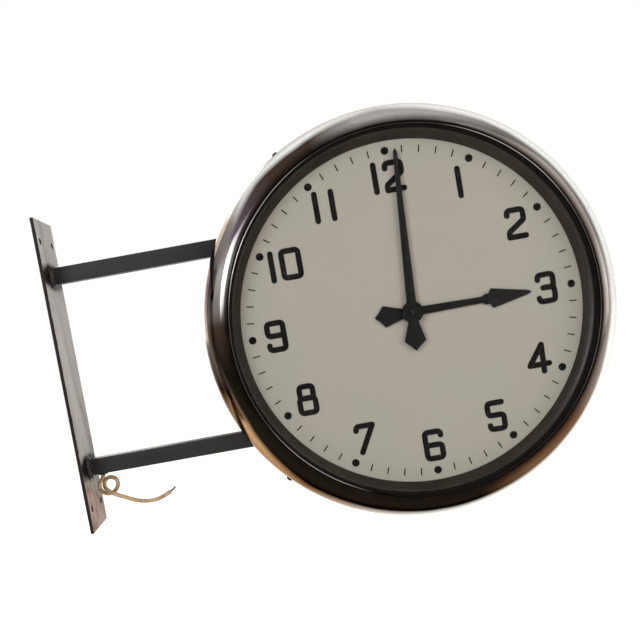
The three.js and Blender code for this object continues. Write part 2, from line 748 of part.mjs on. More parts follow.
  // Clicks. Each lies just off the ratchet's teeth.
  const clickLow = -ratchetFoot;
  const driveTip = [driveBeak[0], driveBeak[1]];
  put('drive_click', cut(join(
    link(driveClick, [8, driveClick[1] + 0.3], clickBar, clickLow, clickLow + clickThick),
    post(driveClick[0], driveClick[1], clickBar, clickLow, clickLow + clickThick),
    slab(outline([[4, 28.4], driveTip, [11, 26.4], [12.4, 31.4], [6, 31.8]]), clickLow, clickLow + clickThick),
  ), post(driveClick[0], driveClick[1], studR + gap, -far, 0, 8)), steel);
  const beakR = ratchetTipR + clickPlay;
  const backTip = [beakR * Math.cos(backBeakAngle * rad), beakR * Math.sin(backBeakAngle * rad)];
  put('backstop_click', cut(join(
    link(backClick, [backTip[0] + 2.4, backTip[1] + 1.6], clickBar - 0.8, clickLow, clickLow + clickThick),
    post(backClick[0], backClick[1], clickBar, clickLow, clickLow + clickThick),
    slab(outline([[backTip[0], backTip[1]], [backTip[0] + 4.2, backTip[1] + 0.8],
      [backTip[0] + 3.2, backTip[1] + 4.2], [backTip[0] + 1.4, backTip[1] + 3]]), clickLow, clickLow + clickThick),
  ), post(backClick[0], backClick[1], studR + gap, -far, 0, 8)), steel);

  // Minute arbor with its collar, and the ratchet wheel.
  put('minute_arbor', revolve([
    [0, -arborTail], [arborR, -arborTail], [arborR, -ratchetFoot - gap - collarTall],
    [collarR, -ratchetFoot - gap - collarTall], [collarR, -ratchetFoot - gap], [arborR, -ratchetFoot - gap],
    [arborR, arborNose], [0, arborNose],
  ], 8), steel);
  const boreTool = post(0, 0, arborHoleR, -far, far, 8);
  put('ratchet_wheel', cut(slab(outline(ratchetOutline()), -ratchetFoot, -ratchetTop), boreTool), brass);

  // Motion work.
  const mesh45 = meshAngle * rad;
  put('cannon_pinion', cut(join(
    slab(outline(gearOutline(cannonTeeth, 0.9, mesh45, 2)), -cannonTop - cannonTall, -cannonTop),
    post(0, 0, cannonPipeR, -cannonTop - cannonTall / 2, cannonNose, 14),
  ), boreTool), steel);
  const minuteWheel = cut(join(
    slab(outline(gearOutline(minuteTeeth, 0.5, mesh45 + Math.PI + Math.PI / minuteTeeth)),
      -minuteTop - minuteThick, -minuteTop),
    slab(outline(gearOutline(pinionTeeth, 0.9, mesh45 + Math.PI, 2)), -minuteTop - minuteThick / 2, -pinionTop),
  ), post(0, 0, studR + gap, -far, far, 8));
  minuteWheel.translate(meshX, meshY, 0);
  put('minute_wheel', minuteWheel, brass);
  put('hour_wheel', cut(join(
    slab(outline(gearOutline(hourTeeth, 0.5, mesh45 + Math.PI / hourTeeth)), -hourTop - hourThick, -hourTop),
    post(0, 0, hourPipeR, -hourTop - hourThick / 2, hourNose, 14),
  ), post(0, 0, cannonPipeR + gap, -far, far, 14)), brass);

  // Hands and the nut that holds them.
  put('hour_hand', cut(join(
    handBody(hourShape, hourFoot), post(0, 0, hubR - 4, hourFoot, hourFoot + handRidge, 20),
  ), post(0, 0, hourPipeR + gap, -far, far, 14)), handBlack, hourAngle);
  put('minute_hand', cut(join(
    handBody(minuteShape, minuteFoot), post(0, 0, hubR, minuteFoot + handEdge, hubTop, 24),
  ), post(0, 0, cannonPipeR + gap, -far, far, 14)), handBlack, minuteAngle);
  put('hand_nut', cut(post(0, 0, nutR, hubTop + gap, hubTop + gap + nutTall, 6), boreTool), handBlack);
}

side('front', 0);
side('rear', Math.PI);

export default clock;
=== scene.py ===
# %% [markdown]
# # A double sided station clock
#
# A big drum with a dial on each face hangs on two square arms from a wall
# plate. The solid model already has every piece at its real size, and this
# lesson dresses it: smooth turned metal, print on the dials, paint, rust and a
# stub of old cable. Everything is in metres, in the solid model's own frame:
# x runs out from the wall, z is up, and the front dial faces -y.

# %% Load the frame
import math

import bmesh
import bpy
from mathutils import Matrix, Vector


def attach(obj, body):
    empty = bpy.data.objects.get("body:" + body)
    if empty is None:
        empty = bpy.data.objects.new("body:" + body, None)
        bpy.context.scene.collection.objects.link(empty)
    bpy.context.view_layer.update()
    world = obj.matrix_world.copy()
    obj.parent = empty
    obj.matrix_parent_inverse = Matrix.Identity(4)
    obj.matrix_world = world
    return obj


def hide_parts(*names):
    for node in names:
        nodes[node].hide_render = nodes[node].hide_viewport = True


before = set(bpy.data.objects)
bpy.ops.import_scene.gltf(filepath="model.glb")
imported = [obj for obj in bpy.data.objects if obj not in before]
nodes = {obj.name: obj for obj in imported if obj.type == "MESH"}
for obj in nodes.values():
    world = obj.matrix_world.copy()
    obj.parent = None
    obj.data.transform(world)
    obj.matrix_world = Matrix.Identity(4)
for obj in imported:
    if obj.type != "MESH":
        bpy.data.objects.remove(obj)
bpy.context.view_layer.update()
MM = 0.001
ROOT = "clock"

# %% [markdown]
# ## Camera
#
# The photograph was taken from in front of the gap between drum and wall, and
# the camera was rolled by ten degrees, so the upright clock looks tilted. The
# camera is set by the three turns that bring the known points of the clock
# onto the picture, and a small shift does what the picture's crop did.

# %% Stand the camera
CAMERA_AT = (0.311946, -1.238737, 0.018254)
PAN, TILT, ROLLED = (math.radians(degrees) for degrees in (0.6083, 86.6941, -10.2045))
turn = Matrix.Rotation(PAN, 4, "Z") @ Matrix.Rotation(TILT, 4, "X") @ Matrix.Rotation(ROLLED, 4, "Z")
bpy.ops.object.select_all(action="DESELECT")
bpy.ops.object.camera_add(location=CAMERA_AT, rotation=turn.to_euler())
camera = bpy.context.object
camera.data.lens, camera.data.sensor_width = 45, 36
camera.data.shift_x, camera.data.shift_y = 0.08721, 0.08705
bpy.context.scene.camera = camera
print("camera stands at", tuple(round(x, 3) for x in camera.location))

# %% [markdown]
# ## Finishes
#
# Old painted and lacquered metal is never one colour. Every finish here starts
# as a Principled shader, and gets its colours from a noise that sits on the
# object's own coordinates, so it stays put whatever moves. A second noise
# makes some patches duller than others, and a third one dents the surface
# slightly, which breaks up the reflections.

# %% A finish with mottled colour
NOISE_LOW, NOISE_HIGH = 0.3, 0.7  # most of a noise lies between these
GLOSS_SCALE = 2.3  # patches of gloss are this much finer than those of colour


def srgb(red, green, blue):
    """A colour written as the eye sees it, 0 to 255, as light."""
    parts = [c / 255 for c in (red, green, blue)]
    return tuple(c / 12.92 if c <= 0.04045 else ((c + 0.055) / 1.055) ** 2.4 for c in parts) + (1,)


class Nodes:
    """A tree of shader nodes, and short ways to add to it."""

    def __init__(self, tree):
        self.tree = tree

    def give(self, socket, value):
        """Links another node's socket, or sets a plain value."""
        if isinstance(value, bpy.types.NodeSocket):
            self.tree.links.new(value, socket)
        else:
            socket.default_value = value

    def add(self, kind, inputs=None, **settings):
        node = self.tree.nodes.new(kind)
        for name, value in settings.items():
            setattr(node, name, value)
        for label, value in (inputs or {}).items():
            self.give(node.inputs[label], value)
        return node

    def sums(self, how, first, second=0.0):
        return self.add("ShaderNodeMath", {0: first, 1: second}, operation=how).outputs[0]

    def seen(self):
        """1 for what camera, mirrors and glass look at, 0 for what only lights."""
        rays = self.add("ShaderNodeLightPath").outputs
        direct = self.sums("MAXIMUM", rays["Is Camera Ray"], rays["Is Glossy Ray"])
        return self.sums("MAXIMUM", direct, rays["Is Transmission Ray"])


class Finish(Nodes):
    """A material, which starts as a Principled shader."""

    def __init__(self, name, **sockets):
        self.material = bpy.data.materials.new(name)
        self.material.use_nodes = True
        super().__init__(self.material.node_tree)
        self.shader = self.tree.nodes["Principled BSDF"]
        for label, value in sockets.items():
            self.set(label.replace("_", " "), value)
        self.place = self.add("ShaderNodeTexCoord").outputs["Object"]

    def set(self, label, value):
        self.give(self.shader.inputs[label], value)

    def axes(self):
        """The place's X, Y and Z."""
        return self.add("ShaderNodeSeparateXYZ", {"Vector": self.place}).outputs

    def distance(self, across, up):
        """How far a place is from the point where both of these are nought."""
        flat = self.add("ShaderNodeCombineXYZ", {"X": across, "Y": up}).outputs[0]
        return self.add("ShaderNodeVectorMath", {0: flat}, operation="LENGTH").outputs["Value"]

    def noise(self, scale, detail=4, stretch=None, rough=0.55):
        place = self.place
        if stretch:
            place = self.add("ShaderNodeMapping", {"Vector": place, "Scale": stretch}).outputs[0]
        inputs = {"Vector": place, "Scale": scale, "Detail": detail, "Roughness": rough}
        return self.add("ShaderNodeTexNoise", inputs).outputs["Fac"]

    def fade(self, value, low, high, to_low=0.0, to_high=1.0):
        inputs = {"Value": value, "From Min": low, "From Max": high, "To Min": to_low, "To Max": to_high}
        return self.add("ShaderNodeMapRange", inputs).outputs["Result"]

    def spread(self, noise, to_low, to_high):
        """Brings a noise to another range."""
        return self.fade(noise, NOISE_LOW, NOISE_HIGH, to_low, to_high)

    def ragged(self, value, noise, by):
        """Shifts a value to and fro by a noise, which makes its fades ragged."""
        return self.sums("ADD", value, self.spread(noise, -by, by))

    def ramp(self, value, stops):
        node = self.add("ShaderNodeValToRGB", {"Fac": value})
        spots = node.color_ramp.elements
        while len(spots) < len(stops):
            spots.new(0.5)
        for spot, (where, _) in zip(spots, stops):
            spot.position = where
        for spot, (_, colour) in zip(spots, stops):
            spot.color = colour
        return node.outputs["Color"]

    def two_tones(self, noise, dark, light):
        return self.ramp(noise, [(NOISE_LOW, srgb(*dark)), (NOISE_HIGH, srgb(*light))])

    def mix(self, share, first, second, how="MIX"):
        # Inputs 6 and 7 are the two colours of a node that mixes colours.
        inputs = {0: share, 6: first, 7: second}
        return self.add("ShaderNodeMix", inputs, data_type="RGBA", blend_type=how).outputs[2]

    def dent(self, height, depth):
        node = self.add("ShaderNodeBump", {"Height": height, "Distance": depth, "Strength": 1.0})
        self.set("Normal", node.outputs[0])


def mottled(name, dark, light, scale, rough=(0.4, 0.6), dents=0.00005, dent_scale=400, stretch=None, **sockets):
    """A finish whose colour drifts between two shades."""
    finish = Finish(name, **sockets)
    grain = finish.noise(scale, stretch=stretch)
    finish.set("Base Color", finish.two_tones(grain, dark, light))
    finish.set("Roughness", finish.spread(finish.noise(scale * GLOSS_SCALE), *rough))
    finish.dent(finish.noise(dent_scale, detail=2), dents)
    return finish


def dress(finish, *names):
    """Puts a finish on pieces of the solid model."""
    for name in names:
        for slot in nodes[name].material_slots:
            slot.material = finish.material


def paint(piece, finish):
    piece.data.materials.clear()
    piece.data.materials.append(finish.material)


print("one finish helper, used for every piece below")

# %% [markdown]
# ## Shapes
#
# Most pieces start as a circle, a cylinder or a block, and Booleans cut or
# unite them. The sizes of new pieces are given in millimetres. Every piece
# ends with its place in its mesh, as the pieces of the solid model have it.


# %% Short ways to make and change a piece
def only(*pieces):
    """Selects these pieces and nothing else."""
    bpy.ops.object.select_all(action="DESELECT")
    for piece in pieces:
        piece.select_set(True)
    bpy.context.view_layer.objects.active = pieces[0]


def settle():
    """Moves the place, turn and scale of what is selected into its mesh."""
    bpy.ops.object.transform_apply(location=True, rotation=True, scale=True)


def smooth(piece, sharp=35):
    """Shades a piece smooth, apart from edges sharper than these degrees."""
    only(piece)
    bpy.ops.object.shade_smooth_by_angle(angle=math.radians(sharp))


def block(name, size, centre):
    """A block of that size round its centre."""
    bpy.ops.object.select_all(action="DESELECT")
    bpy.ops.mesh.primitive_cube_add(size=1, location=[c * MM for c in centre])
    piece = bpy.context.object
    piece.name = name
    piece.scale = [s * MM for s in size]
    settle()
    return piece


def cylinder(radius, long, centre, sides, rotation=(0, 0, 0)):
    """A cylinder that stands along z before it is rotated."""
    bpy.ops.object.select_all(action="DESELECT")
    bpy.ops.mesh.primitive_cylinder_add(vertices=sides, radius=radius * MM, depth=long * MM,
                                        location=[c * MM for c in centre], rotation=rotation)
    settle()
    return bpy.context.object


def copied(piece):
    """A copy with its own mesh."""
    copy = piece.copy()
    copy.data = piece.data.copy()
    bpy.context.scene.collection.objects.link(copy)
    return copy


def combine(piece, other, how):
    """Cuts the other piece out of the first, or unites them."""
    only(piece)
    change = piece.modifiers.new(how.lower(), "BOOLEAN")
    change.operation, change.object, change.solver = how, other, "EXACT"
    bpy.ops.object.modifier_apply(modifier=change.name)
    bpy.data.objects.remove(other)


def pick(test, kind="verts"):
    """In edit mode, selects what passes the test and nothing else."""
    bpy.ops.mesh.select_all(action="DESELECT")
    mesh = bmesh.from_edit_mesh(bpy.context.object.data)
    for part in getattr(mesh, kind):
        part.select = bool(test(part))
    mesh.select_flush(True)
    bmesh.update_edit_mesh(bpy.context.object.data)


print("helpers for shapes are ready")

# %% [markdown]
# ## Supply cable
#
# An old tan sheath leaves the lower arm through a grommet, makes one loose
# loop and ends cut off, with its two cores bare. Its line is the same row of
# points that the solid model uses, joined by the same smooth curve, so the
# round tube drawn here lies exactly where the solid one lies.

# %% Points that the cable passes, from its hole
HOLE = Vector((24, 0, -158))
CABLE_R = 3.1
STUB = [
    (0, 0, 1.4), (0, 0, -1), (0, 0, -3.6), (-1.2, -0.9, -7.2), (-4.4, -2.4, -11.2),
    (-7.6, -2.8, -16.4), (-8.4, -1.6, -23.5), (-5.3, 0.4, -30.3), (1, 2.4, -34.2), (8, 3.5, -34),
    (14.5, 3.8, -30.3), (18.8, 3.6, -23.8), (19, 3.6, -16.6), (14.7, 3.8, -11.3), (8, 4.4, -9.6),
    (2.2, 4.6, -11.6), (-1.4, 3.4, -17), (-1, 0.6, -23.2), (3.2, -2.2, -28.6), (9.4, -3.6, -33.2),
    (16.5, -3.2, -37.8), (24.5, -2, -42.2), (35, -1, -47.8), (45.5, -0.4, -52.4), (57.5, 0, -55.7),
    (71, 0, -56.3), (84, 0, -53.9), (95.5, 0, -49.3), (98.9, 0, -47.5),
]
BARE_END = [(99.2, 0, -47.3), (103.5, 0, -44.8), (106.8, 0, -42)]


# %% A smooth line through points
def smooth_line(points, steps):
    """Goes through the points evenly, slower where they lie close together."""
    row = [Vector(p) for p in points]
    row = [2 * row[0] - row[1]] + row + [2 * row[-1] - row[-2]]
    line = []
    for a, b, c, d in zip(row, row[1:], row[2:], row[3:]):
        one, two, three = ((q - p).length ** 0.5 for p, q in ((a, b), (b, c), (c, d)))
        leave = ((b - a) / one - (c - a) / (one + two) + (c - b) / two) * two
        reach = ((c - b) / two - (d - b) / (two + three) + (d - c) / three) * two
        for i in range(steps):
            t = i / steps
            line.append(b + leave * t + (3 * (c - b) - 2 * leave - reach) * t ** 2
                        + (2 * (b - c) + leave + reach) * t ** 3)
    return line + [row[-2]]


def tube(name, line, radius, roundness=5):
    """A round tube along a line of points, in millimetres."""
    curve = bpy.data.curves.new(name, "CURVE")
    curve.dimensions = "3D"
    curve.bevel_depth = radius * MM
    curve.bevel_resolution = roundness
    curve.use_fill_caps = True
    spline = curve.splines.new("POLY")
    spline.points.add(len(line) - 1)
    for point, place in zip(spline.points, line):
        point.co = (*(place * MM), 1)
    spline.use_smooth = True
    piece = bpy.data.objects.new(name, curve)
    bpy.context.scene.collection.objects.link(piece)
    return piece


# %% Draw the sheath
sheath_line = [HOLE + p for p in smooth_line(STUB, 6)]
cable_length = sum((b - a).length for a, b in zip(sheath_line, sheath_line[1:])) * MM
cable = tube("supply_cable_sheath", sheath_line, CABLE_R)
only(cable)
bpy.ops.object.convert(target="MESH")
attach(cable, ROOT)
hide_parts("supply_cable")
print("cable shown:", round(cable_length, 4), "m")

# %% [markdown]
# The two cores are twisted round each other, as they lie in the sheath. Each
# one is a thinner tube whose line circles the cable's own line, and a short
# lump of melted sheath sits on their tips.


# %% Twist the bare cores
def twisted(line, away, turns, phase):
    """A line that circles another one."""
    twist = []
    for i, place in enumerate(line):
        ahead = (line[min(i + 1, len(line) - 1)] - line[max(i - 1, 0)]).normalized()
        side = ahead.cross(Vector((0, 1, 0))).normalized()
        over = side.cross(ahead)
        angle = phase + math.tau * turns * i / (len(line) - 1)
        twist.append(place + away * (math.cos(angle) * side + math.sin(angle) * over))
    return twist


CORE_R, CORE_TURNS, TIP_R = 0.85, 1.5, 1.75
TIP = Vector((106.1, 0, -42.5))
core_line = [HOLE + p for p in smooth_line(BARE_END, 14)]
cores = tube("supply_cable_cores", twisted(core_line, CORE_R, CORE_TURNS, 0.0), CORE_R, 3)
core_b = tube("core_b", twisted(core_line, CORE_R, CORE_TURNS, math.pi), CORE_R, 3)
bpy.ops.object.select_all(action="DESELECT")
bpy.ops.mesh.primitive_uv_sphere_add(segments=16, ring_count=10, radius=TIP_R * MM, location=(HOLE + TIP) * MM)
tip = bpy.context.object
tip.scale = (0.8, 0.85, 1)
settle()
bpy.ops.object.shade_smooth()
for core in (cores, core_b):
    only(core)
    bpy.ops.object.convert(target="MESH")
only(cores, core_b, tip)
bpy.ops.object.join()
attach(cores, ROOT)
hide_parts("cable_cores")
print("cores:", len(cores.data.vertices), "points")

# %% Sheath of perished tan rubber, grimy near its cut end
GRIMY = (0.108, 0.120)  # how far from the wall the grime sets in
sheath = Finish("aged_sheath", Specular_IOR_Level=0.35)
along = sheath.noise(90, stretch=(1, 3, 1))
body = sheath.ramp(along, [(0.3, srgb(142, 110, 82)), (0.55, srgb(184, 156, 122)), (0.8, srgb(212, 190, 158))])
grime = sheath.fade(sheath.noise(260, detail=3), 0.57, 0.66)
grime = sheath.sums("MULTIPLY", grime, sheath.fade(sheath.axes()["X"], *GRIMY))
sheath.set("Base Color", sheath.mix(grime, body, srgb(52, 42, 34)))
sheath.set("Roughness", sheath.spread(along, 0.5, 0.75))
sheath.dent(sheath.noise(700, detail=2), 0.00012)
paint(cable, sheath)
paint(cores, mottled("tarnished_core", (74, 46, 32), (150, 108, 78), 420))
dress(mottled("lead_sheath", (122, 101, 76), (176, 154, 124), 90), "supply_lead")

# %% [markdown]
# ## Turned pieces
#
# Bezel, case, glass, seals, rings and dials are all round, as if turned on a
# lathe. Each starts as a plain circle. Its edge is extruded again and again,
# and every new edge is scaled to the next radius of the profile, until the
# last one lies on the first and both are merged. The piece is made flat, on
# its back, and then laid on the drum's face: once in front, and a copy turned
# half round the upright middle line for the dial that faces the other way.

# %% Where the two faces are
DIAL_X, DIAL_Y, DIAL_Z = 0.528, 0.066, 0.004
FRONT = Matrix.Translation((DIAL_X, -DIAL_Y, DIAL_Z)) @ Matrix.Rotation(math.pi / 2, 4, "X")
REAR = (Matrix.Translation((DIAL_X, 0, 0)) @ Matrix.Rotation(math.pi, 4, "Z")
        @ Matrix.Translation((-DIAL_X, 0, 0)) @ FRONT)
MIDDLE = Matrix.Translation((DIAL_X, 0, DIAL_Z)) @ Matrix.Rotation(math.pi / 2, 4, "X")
SIDES = {"front": FRONT, "rear": REAR}
STEPS = 192


# %% Turn a profile
def turned(name, profile):
    """Spins a closed profile of (radius, height) in millimetres round z."""
    bpy.ops.object.select_all(action="DESELECT")
    radius, height = profile[0]
    bpy.ops.mesh.primitive_circle_add(vertices=STEPS, radius=radius * MM, fill_type="NOTHING",
                                      location=(0, 0, height * MM))
    piece = bpy.context.object
    piece.name = name
    settle()
    bpy.ops.object.mode_set(mode="EDIT")
    bpy.ops.mesh.select_all(action="SELECT")
    for next_radius, next_height in profile[1:] + profile[:1]:
        rise = (next_height - height) * MM
        bpy.ops.mesh.extrude_edges_move(TRANSFORM_OT_translate={"value": (0, 0, rise)})
        size = next_radius / radius
        bpy.ops.transform.resize(value=(size, size, 1), center_override=(0, 0, 0))
        radius, height = next_radius, next_height
    bpy.ops.mesh.select_all(action="SELECT")
    bpy.ops.mesh.remove_doubles(threshold=0.01 * MM)
    bpy.ops.mesh.normals_make_consistent(inside=False)
    bpy.ops.object.mode_set(mode="OBJECT")
    smooth(piece)
    return piece


def lay(piece, place):
    """Moves a finished piece to its place, in its mesh."""
    piece.matrix_world = place
    only(piece)
    settle()


def on_both_faces(piece, finish, slot, *replaced):
    """Lays the piece on the front, and a copy with its own mesh on the rear."""
    paint(piece, finish)
    base = piece.name
    for side, each in (("front", piece), ("rear", copied(piece))):
        each.name = f"{side}_{base}"
        lay(each, SIDES[side])
        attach(each, ROOT)
        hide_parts(*[f"{side}_{name}" for name in replaced])
    print(base, "on both faces,", len(piece.data.polygons), "faces each")


# %% [markdown]
# ### Dark copper
#
# Bezels and case are copper with a dark, glossy patina, and painted reflections and a painted highlight lie in its
# colour. It is nearly black round the bead. Farther out the roll carries painted reflections: grey and silver at
# the top and right, umber low at the right, black at the bottom. At its outer edge these turn into a painted pale
# reflection at the top and right, a painted warm copper reflection low down and a painted plum grey at the left.
# Skirt and case keep an even brown. Nine plain tones are enough: the angle round the dial says which of them lies
# on the roll, which one lies at the edge, how far out across the roll that starts, and how bright the painted
# highlight on the bead's top is. The painted tones are darker on the side of the roll than on its front.

# %% Nine tones of patina and painted reflection, and where they lie, clockwise from twelve
PATINA_AND_REFLECTION_TONES = {
    "black": (25, 20, 15), "bronze": (65, 52, 44), "umber": (105, 76, 54), "copper": (180, 145, 110),
    "plum": (90, 80, 85), "ash": (120, 116, 111), "smoke": (138, 131, 125), "silver": (170, 165, 160),
    "pale": (250, 250, 247),
}
# Tones on the roll: thin patina with painted reflections in it.
THIN_PATINA_AND_REFLECTIONS = [
    (0, "silver"), (18, "silver"), (34, "ash"), (76, "ash"), (92, "silver"), (116, "smoke"), (132, "umber"),
    (152, "umber"), (168, "black"), (262, "black"), (276, "bronze"), (292, "silver"), (304, "plum"),
    (322, "bronze"), (338, "bronze"), (352, "silver"), (360, "silver"),
]
# Painted reflections at the roll's edge, each with the share out where it starts.
EDGE_REFLECTIONS = [
    (0, "pale", 0.8), (15, "pale", 0.62), (45, "pale", 0.5), (110, "pale", 0.46), (140, "pale", 0.6),
    (188, "pale", 0.82), (220, "copper", 0.88), (246, "copper", 0.64), (257, "bronze", 0.55), (272, "smoke", 0.88),
    (288, "plum", 0.7), (304, "smoke", 0.48), (318, "pale", 0.76), (333, "pale", 0.64), (360, "pale", 0.8),
]
# How bright the painted highlight along the bead's top is, round the dial.
BEAD_HIGHLIGHT = [
    (0, 0.05), (18, 0.06), (28, 0.4), (52, 0.35), (66, 0.08), (120, 0.05), (200, 0.0), (212, 0.3), (232, 0.25),
    (243, 0.05), (282, 0.07), (298, 0.5), (322, 0.4), (336, 0.05), (360, 0.05),
]
# Radii from the dial's middle and heights above the dial, in millimetres.
CREST_R, SKIRT_R, BEAD_H, ROLL_FOOT = 268, 307, 26.8, -37.4
BEAD_HIGHLIGHT_FROM, SIDE_DIM_FROM, SIDE_DIM_TO = BEAD_H - 0.4, 10, -24
BROWN_FROM, BROWN_TO = ROLL_FOOT + 12, ROLL_FOOT - 4
# Shares of the way out across the roll, and of the way to the painted reflection at its edge.
DARK_TO_REFLECTED, THIN_TO_EDGE_REFLECTION = (0.03, 0.33), (0.7, 1.0)
# A colour that darkens the painted tones on the roll's side.
SIDE_DIMMING = (0.50, 0.44, 0.38, 1)


def patina_and_reflection_finish(name):
    copper = Finish(name, Metallic=1.0)
    axes = copper.axes()
    right = copper.sums("SUBTRACT", axes["X"], DIAL_X)
    up = copper.sums("SUBTRACT", axes["Z"], DIAL_Z)
    out_of_dial = copper.sums("SUBTRACT", copper.sums("ABSOLUTE", axes["Y"]), DIAL_Y)
    # The radial gradient counts from its own -x, so it is given down and left.
    clock_face = copper.add("ShaderNodeCombineXYZ", {
        "X": copper.sums("MULTIPLY", up, -1.0), "Y": copper.sums("MULTIPLY", right, -1.0)}).outputs[0]
    angle = copper.add("ShaderNodeTexGradient", {"Vector": clock_face}, gradient_type="RADIAL").outputs["Fac"]
    cloud = copper.noise(8, detail=3)
    angle = copper.ragged(angle, cloud, 0.008)
    # Painted reflections on the roll and at its edge, by the angle round the dial.
    thin_and_reflected = copper.ramp(angle, [(where / 360, srgb(*PATINA_AND_REFLECTION_TONES[tone])) for where, tone in THIN_PATINA_AND_REFLECTIONS])
    edge_reflection = copper.ramp(angle, [(where / 360, srgb(*PATINA_AND_REFLECTION_TONES[tone])[:3] + (start,)) for where, tone, start in EDGE_REFLECTIONS])
    bead_highlight = copper.ramp(angle, [(where / 360, (share, share, share, 1)) for where, share in BEAD_HIGHLIGHT])
    thick = copper.ramp(copper.noise(30), [(0.35, srgb(14, 10, 8)), (0.7, srgb(27, 20, 16))])
    brown = copper.two_tones(cloud, (86, 62, 48), (122, 92, 74))
    outwards = copper.fade(copper.distance(right, up), CREST_R * MM, SKIRT_R * MM)
    toward_edge_reflection = copper.sums("DIVIDE", copper.ragged(outwards, cloud, 0.03), edge_reflection.node.outputs["Alpha"])
    tone = copper.mix(copper.fade(outwards, *DARK_TO_REFLECTED), thick, thin_and_reflected)
    tone = copper.mix(copper.fade(toward_edge_reflection, *THIN_TO_EDGE_REFLECTION), tone, edge_reflection)
    # The painted tones are darkened on the side of the roll.
    sideways = copper.fade(out_of_dial, SIDE_DIM_TO * MM, SIDE_DIM_FROM * MM, 1.0, 0.0)
    tone = copper.mix(sideways, tone, SIDE_DIMMING, "MULTIPLY")
    skirt = copper.fade(out_of_dial, BROWN_TO * MM, BROWN_FROM * MM, 1.0, 0.0)
    tone = copper.mix(skirt, tone, brown)
    speckle = copper.fade(copper.noise(210, detail=5, rough=0.7), 0.35, 0.75, 0.9, 1.06)
    speckle = copper.add("ShaderNodeCombineColor", {0: speckle, 1: speckle, 2: speckle}).outputs[0]
    tone = copper.mix(1.0, tone, speckle, "MULTIPLY")
    # A painted highlight line along the bead's top.
    bead_highlight_line = copper.sums("MULTIPLY", copper.fade(out_of_dial, BEAD_HIGHLIGHT_FROM * MM, BEAD_H * MM), bead_highlight)
    tone = copper.mix(bead_highlight_line, tone, srgb(230, 220, 214))
    copper.set("Base Color", tone)
    copper.set("Specular Tint", copper.mix(0.45, tone, (0.8, 0.78, 0.76, 1)))
    copper.set("Roughness", copper.spread(copper.noise(35, detail=5), 0.1, 0.2))
    copper.dent(copper.noise(55, detail=2), 0.00005)
    return copper


dark_copper = patina_and_reflection_finish("dark_copper")
print("tones round the drum:", len(PATINA_AND_REFLECTION_TONES))

# %% [markdown]
# ### Bezels
#
# The bezel is one spun sheet: a bead round the opening, a fine groove, a wide
# roll and a skirt that slips over the case. The roll is a quarter of an oval,
# and the inside follows it one sheet's thickness further in.

# %% Spin the bezel
LIP_R, BEAD_R, GROOVE_R = 264.9, 266.2, 267.55
LIP_H, GROOVE_H, CREST_H, SKIRT_FOOT = 24.6, 25.7, 26.2, -52
SHEET, EDGE = 1.5, 0.3


def roll(angle, inside=0.0):
    """A point on the roll, by its angle from straight out of the dial."""
    angle = math.radians(angle)
    return (CREST_R + (SKIRT_R - CREST_R - inside) * math.sin(angle),
            ROLL_FOOT + (CREST_H - ROLL_FOOT - inside) * math.cos(angle))


bead = [(BEAD_R + (BEAD_R - LIP_R) * math.cos(angle), LIP_H + (BEAD_H - LIP_H) * math.sin(angle))
        for angle in map(math.radians, range(180, 40, -15))]
outside = [roll(degrees) for degrees in range(0, 91, 4)]
inside = [roll(degrees, SHEET) for degrees in range(90, 4, -6)]
skirt = [(SKIRT_R, ROLL_FOOT), (SKIRT_R, SKIRT_FOOT + EDGE), (SKIRT_R - EDGE, SKIRT_FOOT),
         (SKIRT_R - SHEET, SKIRT_FOOT)]
bezel = turned("bezel_shell", bead + [(GROOVE_R, GROOVE_H)] + outside + skirt + inside + [(CREST_R + SHEET, LIP_H)])
on_both_faces(bezel, dark_copper, "bezel_copper", "bezel")

# %% [markdown]
# ### Case
#
# Between the bezels the drum is a plain band with a flange at each edge. The
# arms enter it through two square holes, cut by a Boolean with a long block
# that is a little wider than the arm.

# %% Turn the case and let the arms in
CASE_R, CASE_HALF, CASE_SHEET, CASE_MOUTH, CASE_EDGE = 305, 27, 2, 255, 0.5
ARM, ARM_PITCH, ARM_PLAY = 25, 299, 0.3
ARM_HEIGHTS = {"upper_arm": DIAL_Z / MM + ARM_PITCH / 2, "lower_arm": DIAL_Z / MM - ARM_PITCH / 2}
case_band = turned("drum_case_band", [
    (CASE_MOUTH, CASE_HALF), (CASE_R - CASE_EDGE, CASE_HALF), (CASE_R, CASE_HALF - CASE_EDGE),
    (CASE_R, -CASE_HALF + CASE_EDGE), (CASE_R - CASE_EDGE, -CASE_HALF), (CASE_MOUTH, -CASE_HALF),
    (CASE_MOUTH, CASE_SHEET - CASE_HALF), (CASE_R - CASE_SHEET, CASE_SHEET - CASE_HALF),
    (CASE_R - CASE_SHEET, CASE_HALF - CASE_SHEET), (CASE_MOUTH, CASE_HALF - CASE_SHEET)])
lay(case_band, MIDDLE)
for height in ARM_HEIGHTS.values():
    hole = block("arm_hole", (80, ARM + 2 * ARM_PLAY, ARM + 2 * ARM_PLAY), (250, 0, height))
    combine(case_band, hole, "DIFFERENCE")
paint(case_band, dark_copper)
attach(case_band, ROOT)
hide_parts("drum_case")
print("case:", len(case_band.data.polygons), "faces")

# %% [markdown]
# ### Bezel screws
#
# Four domed screws hold each skirt to the case. One is made from a flat
# cylinder: its top rim is bevelled into a dome, its shank is drawn out of the
# underside, and a thin block cuts the slot. Eight copies of it are laid at
# the skirts' holes, each turned a little further, and the first is removed.

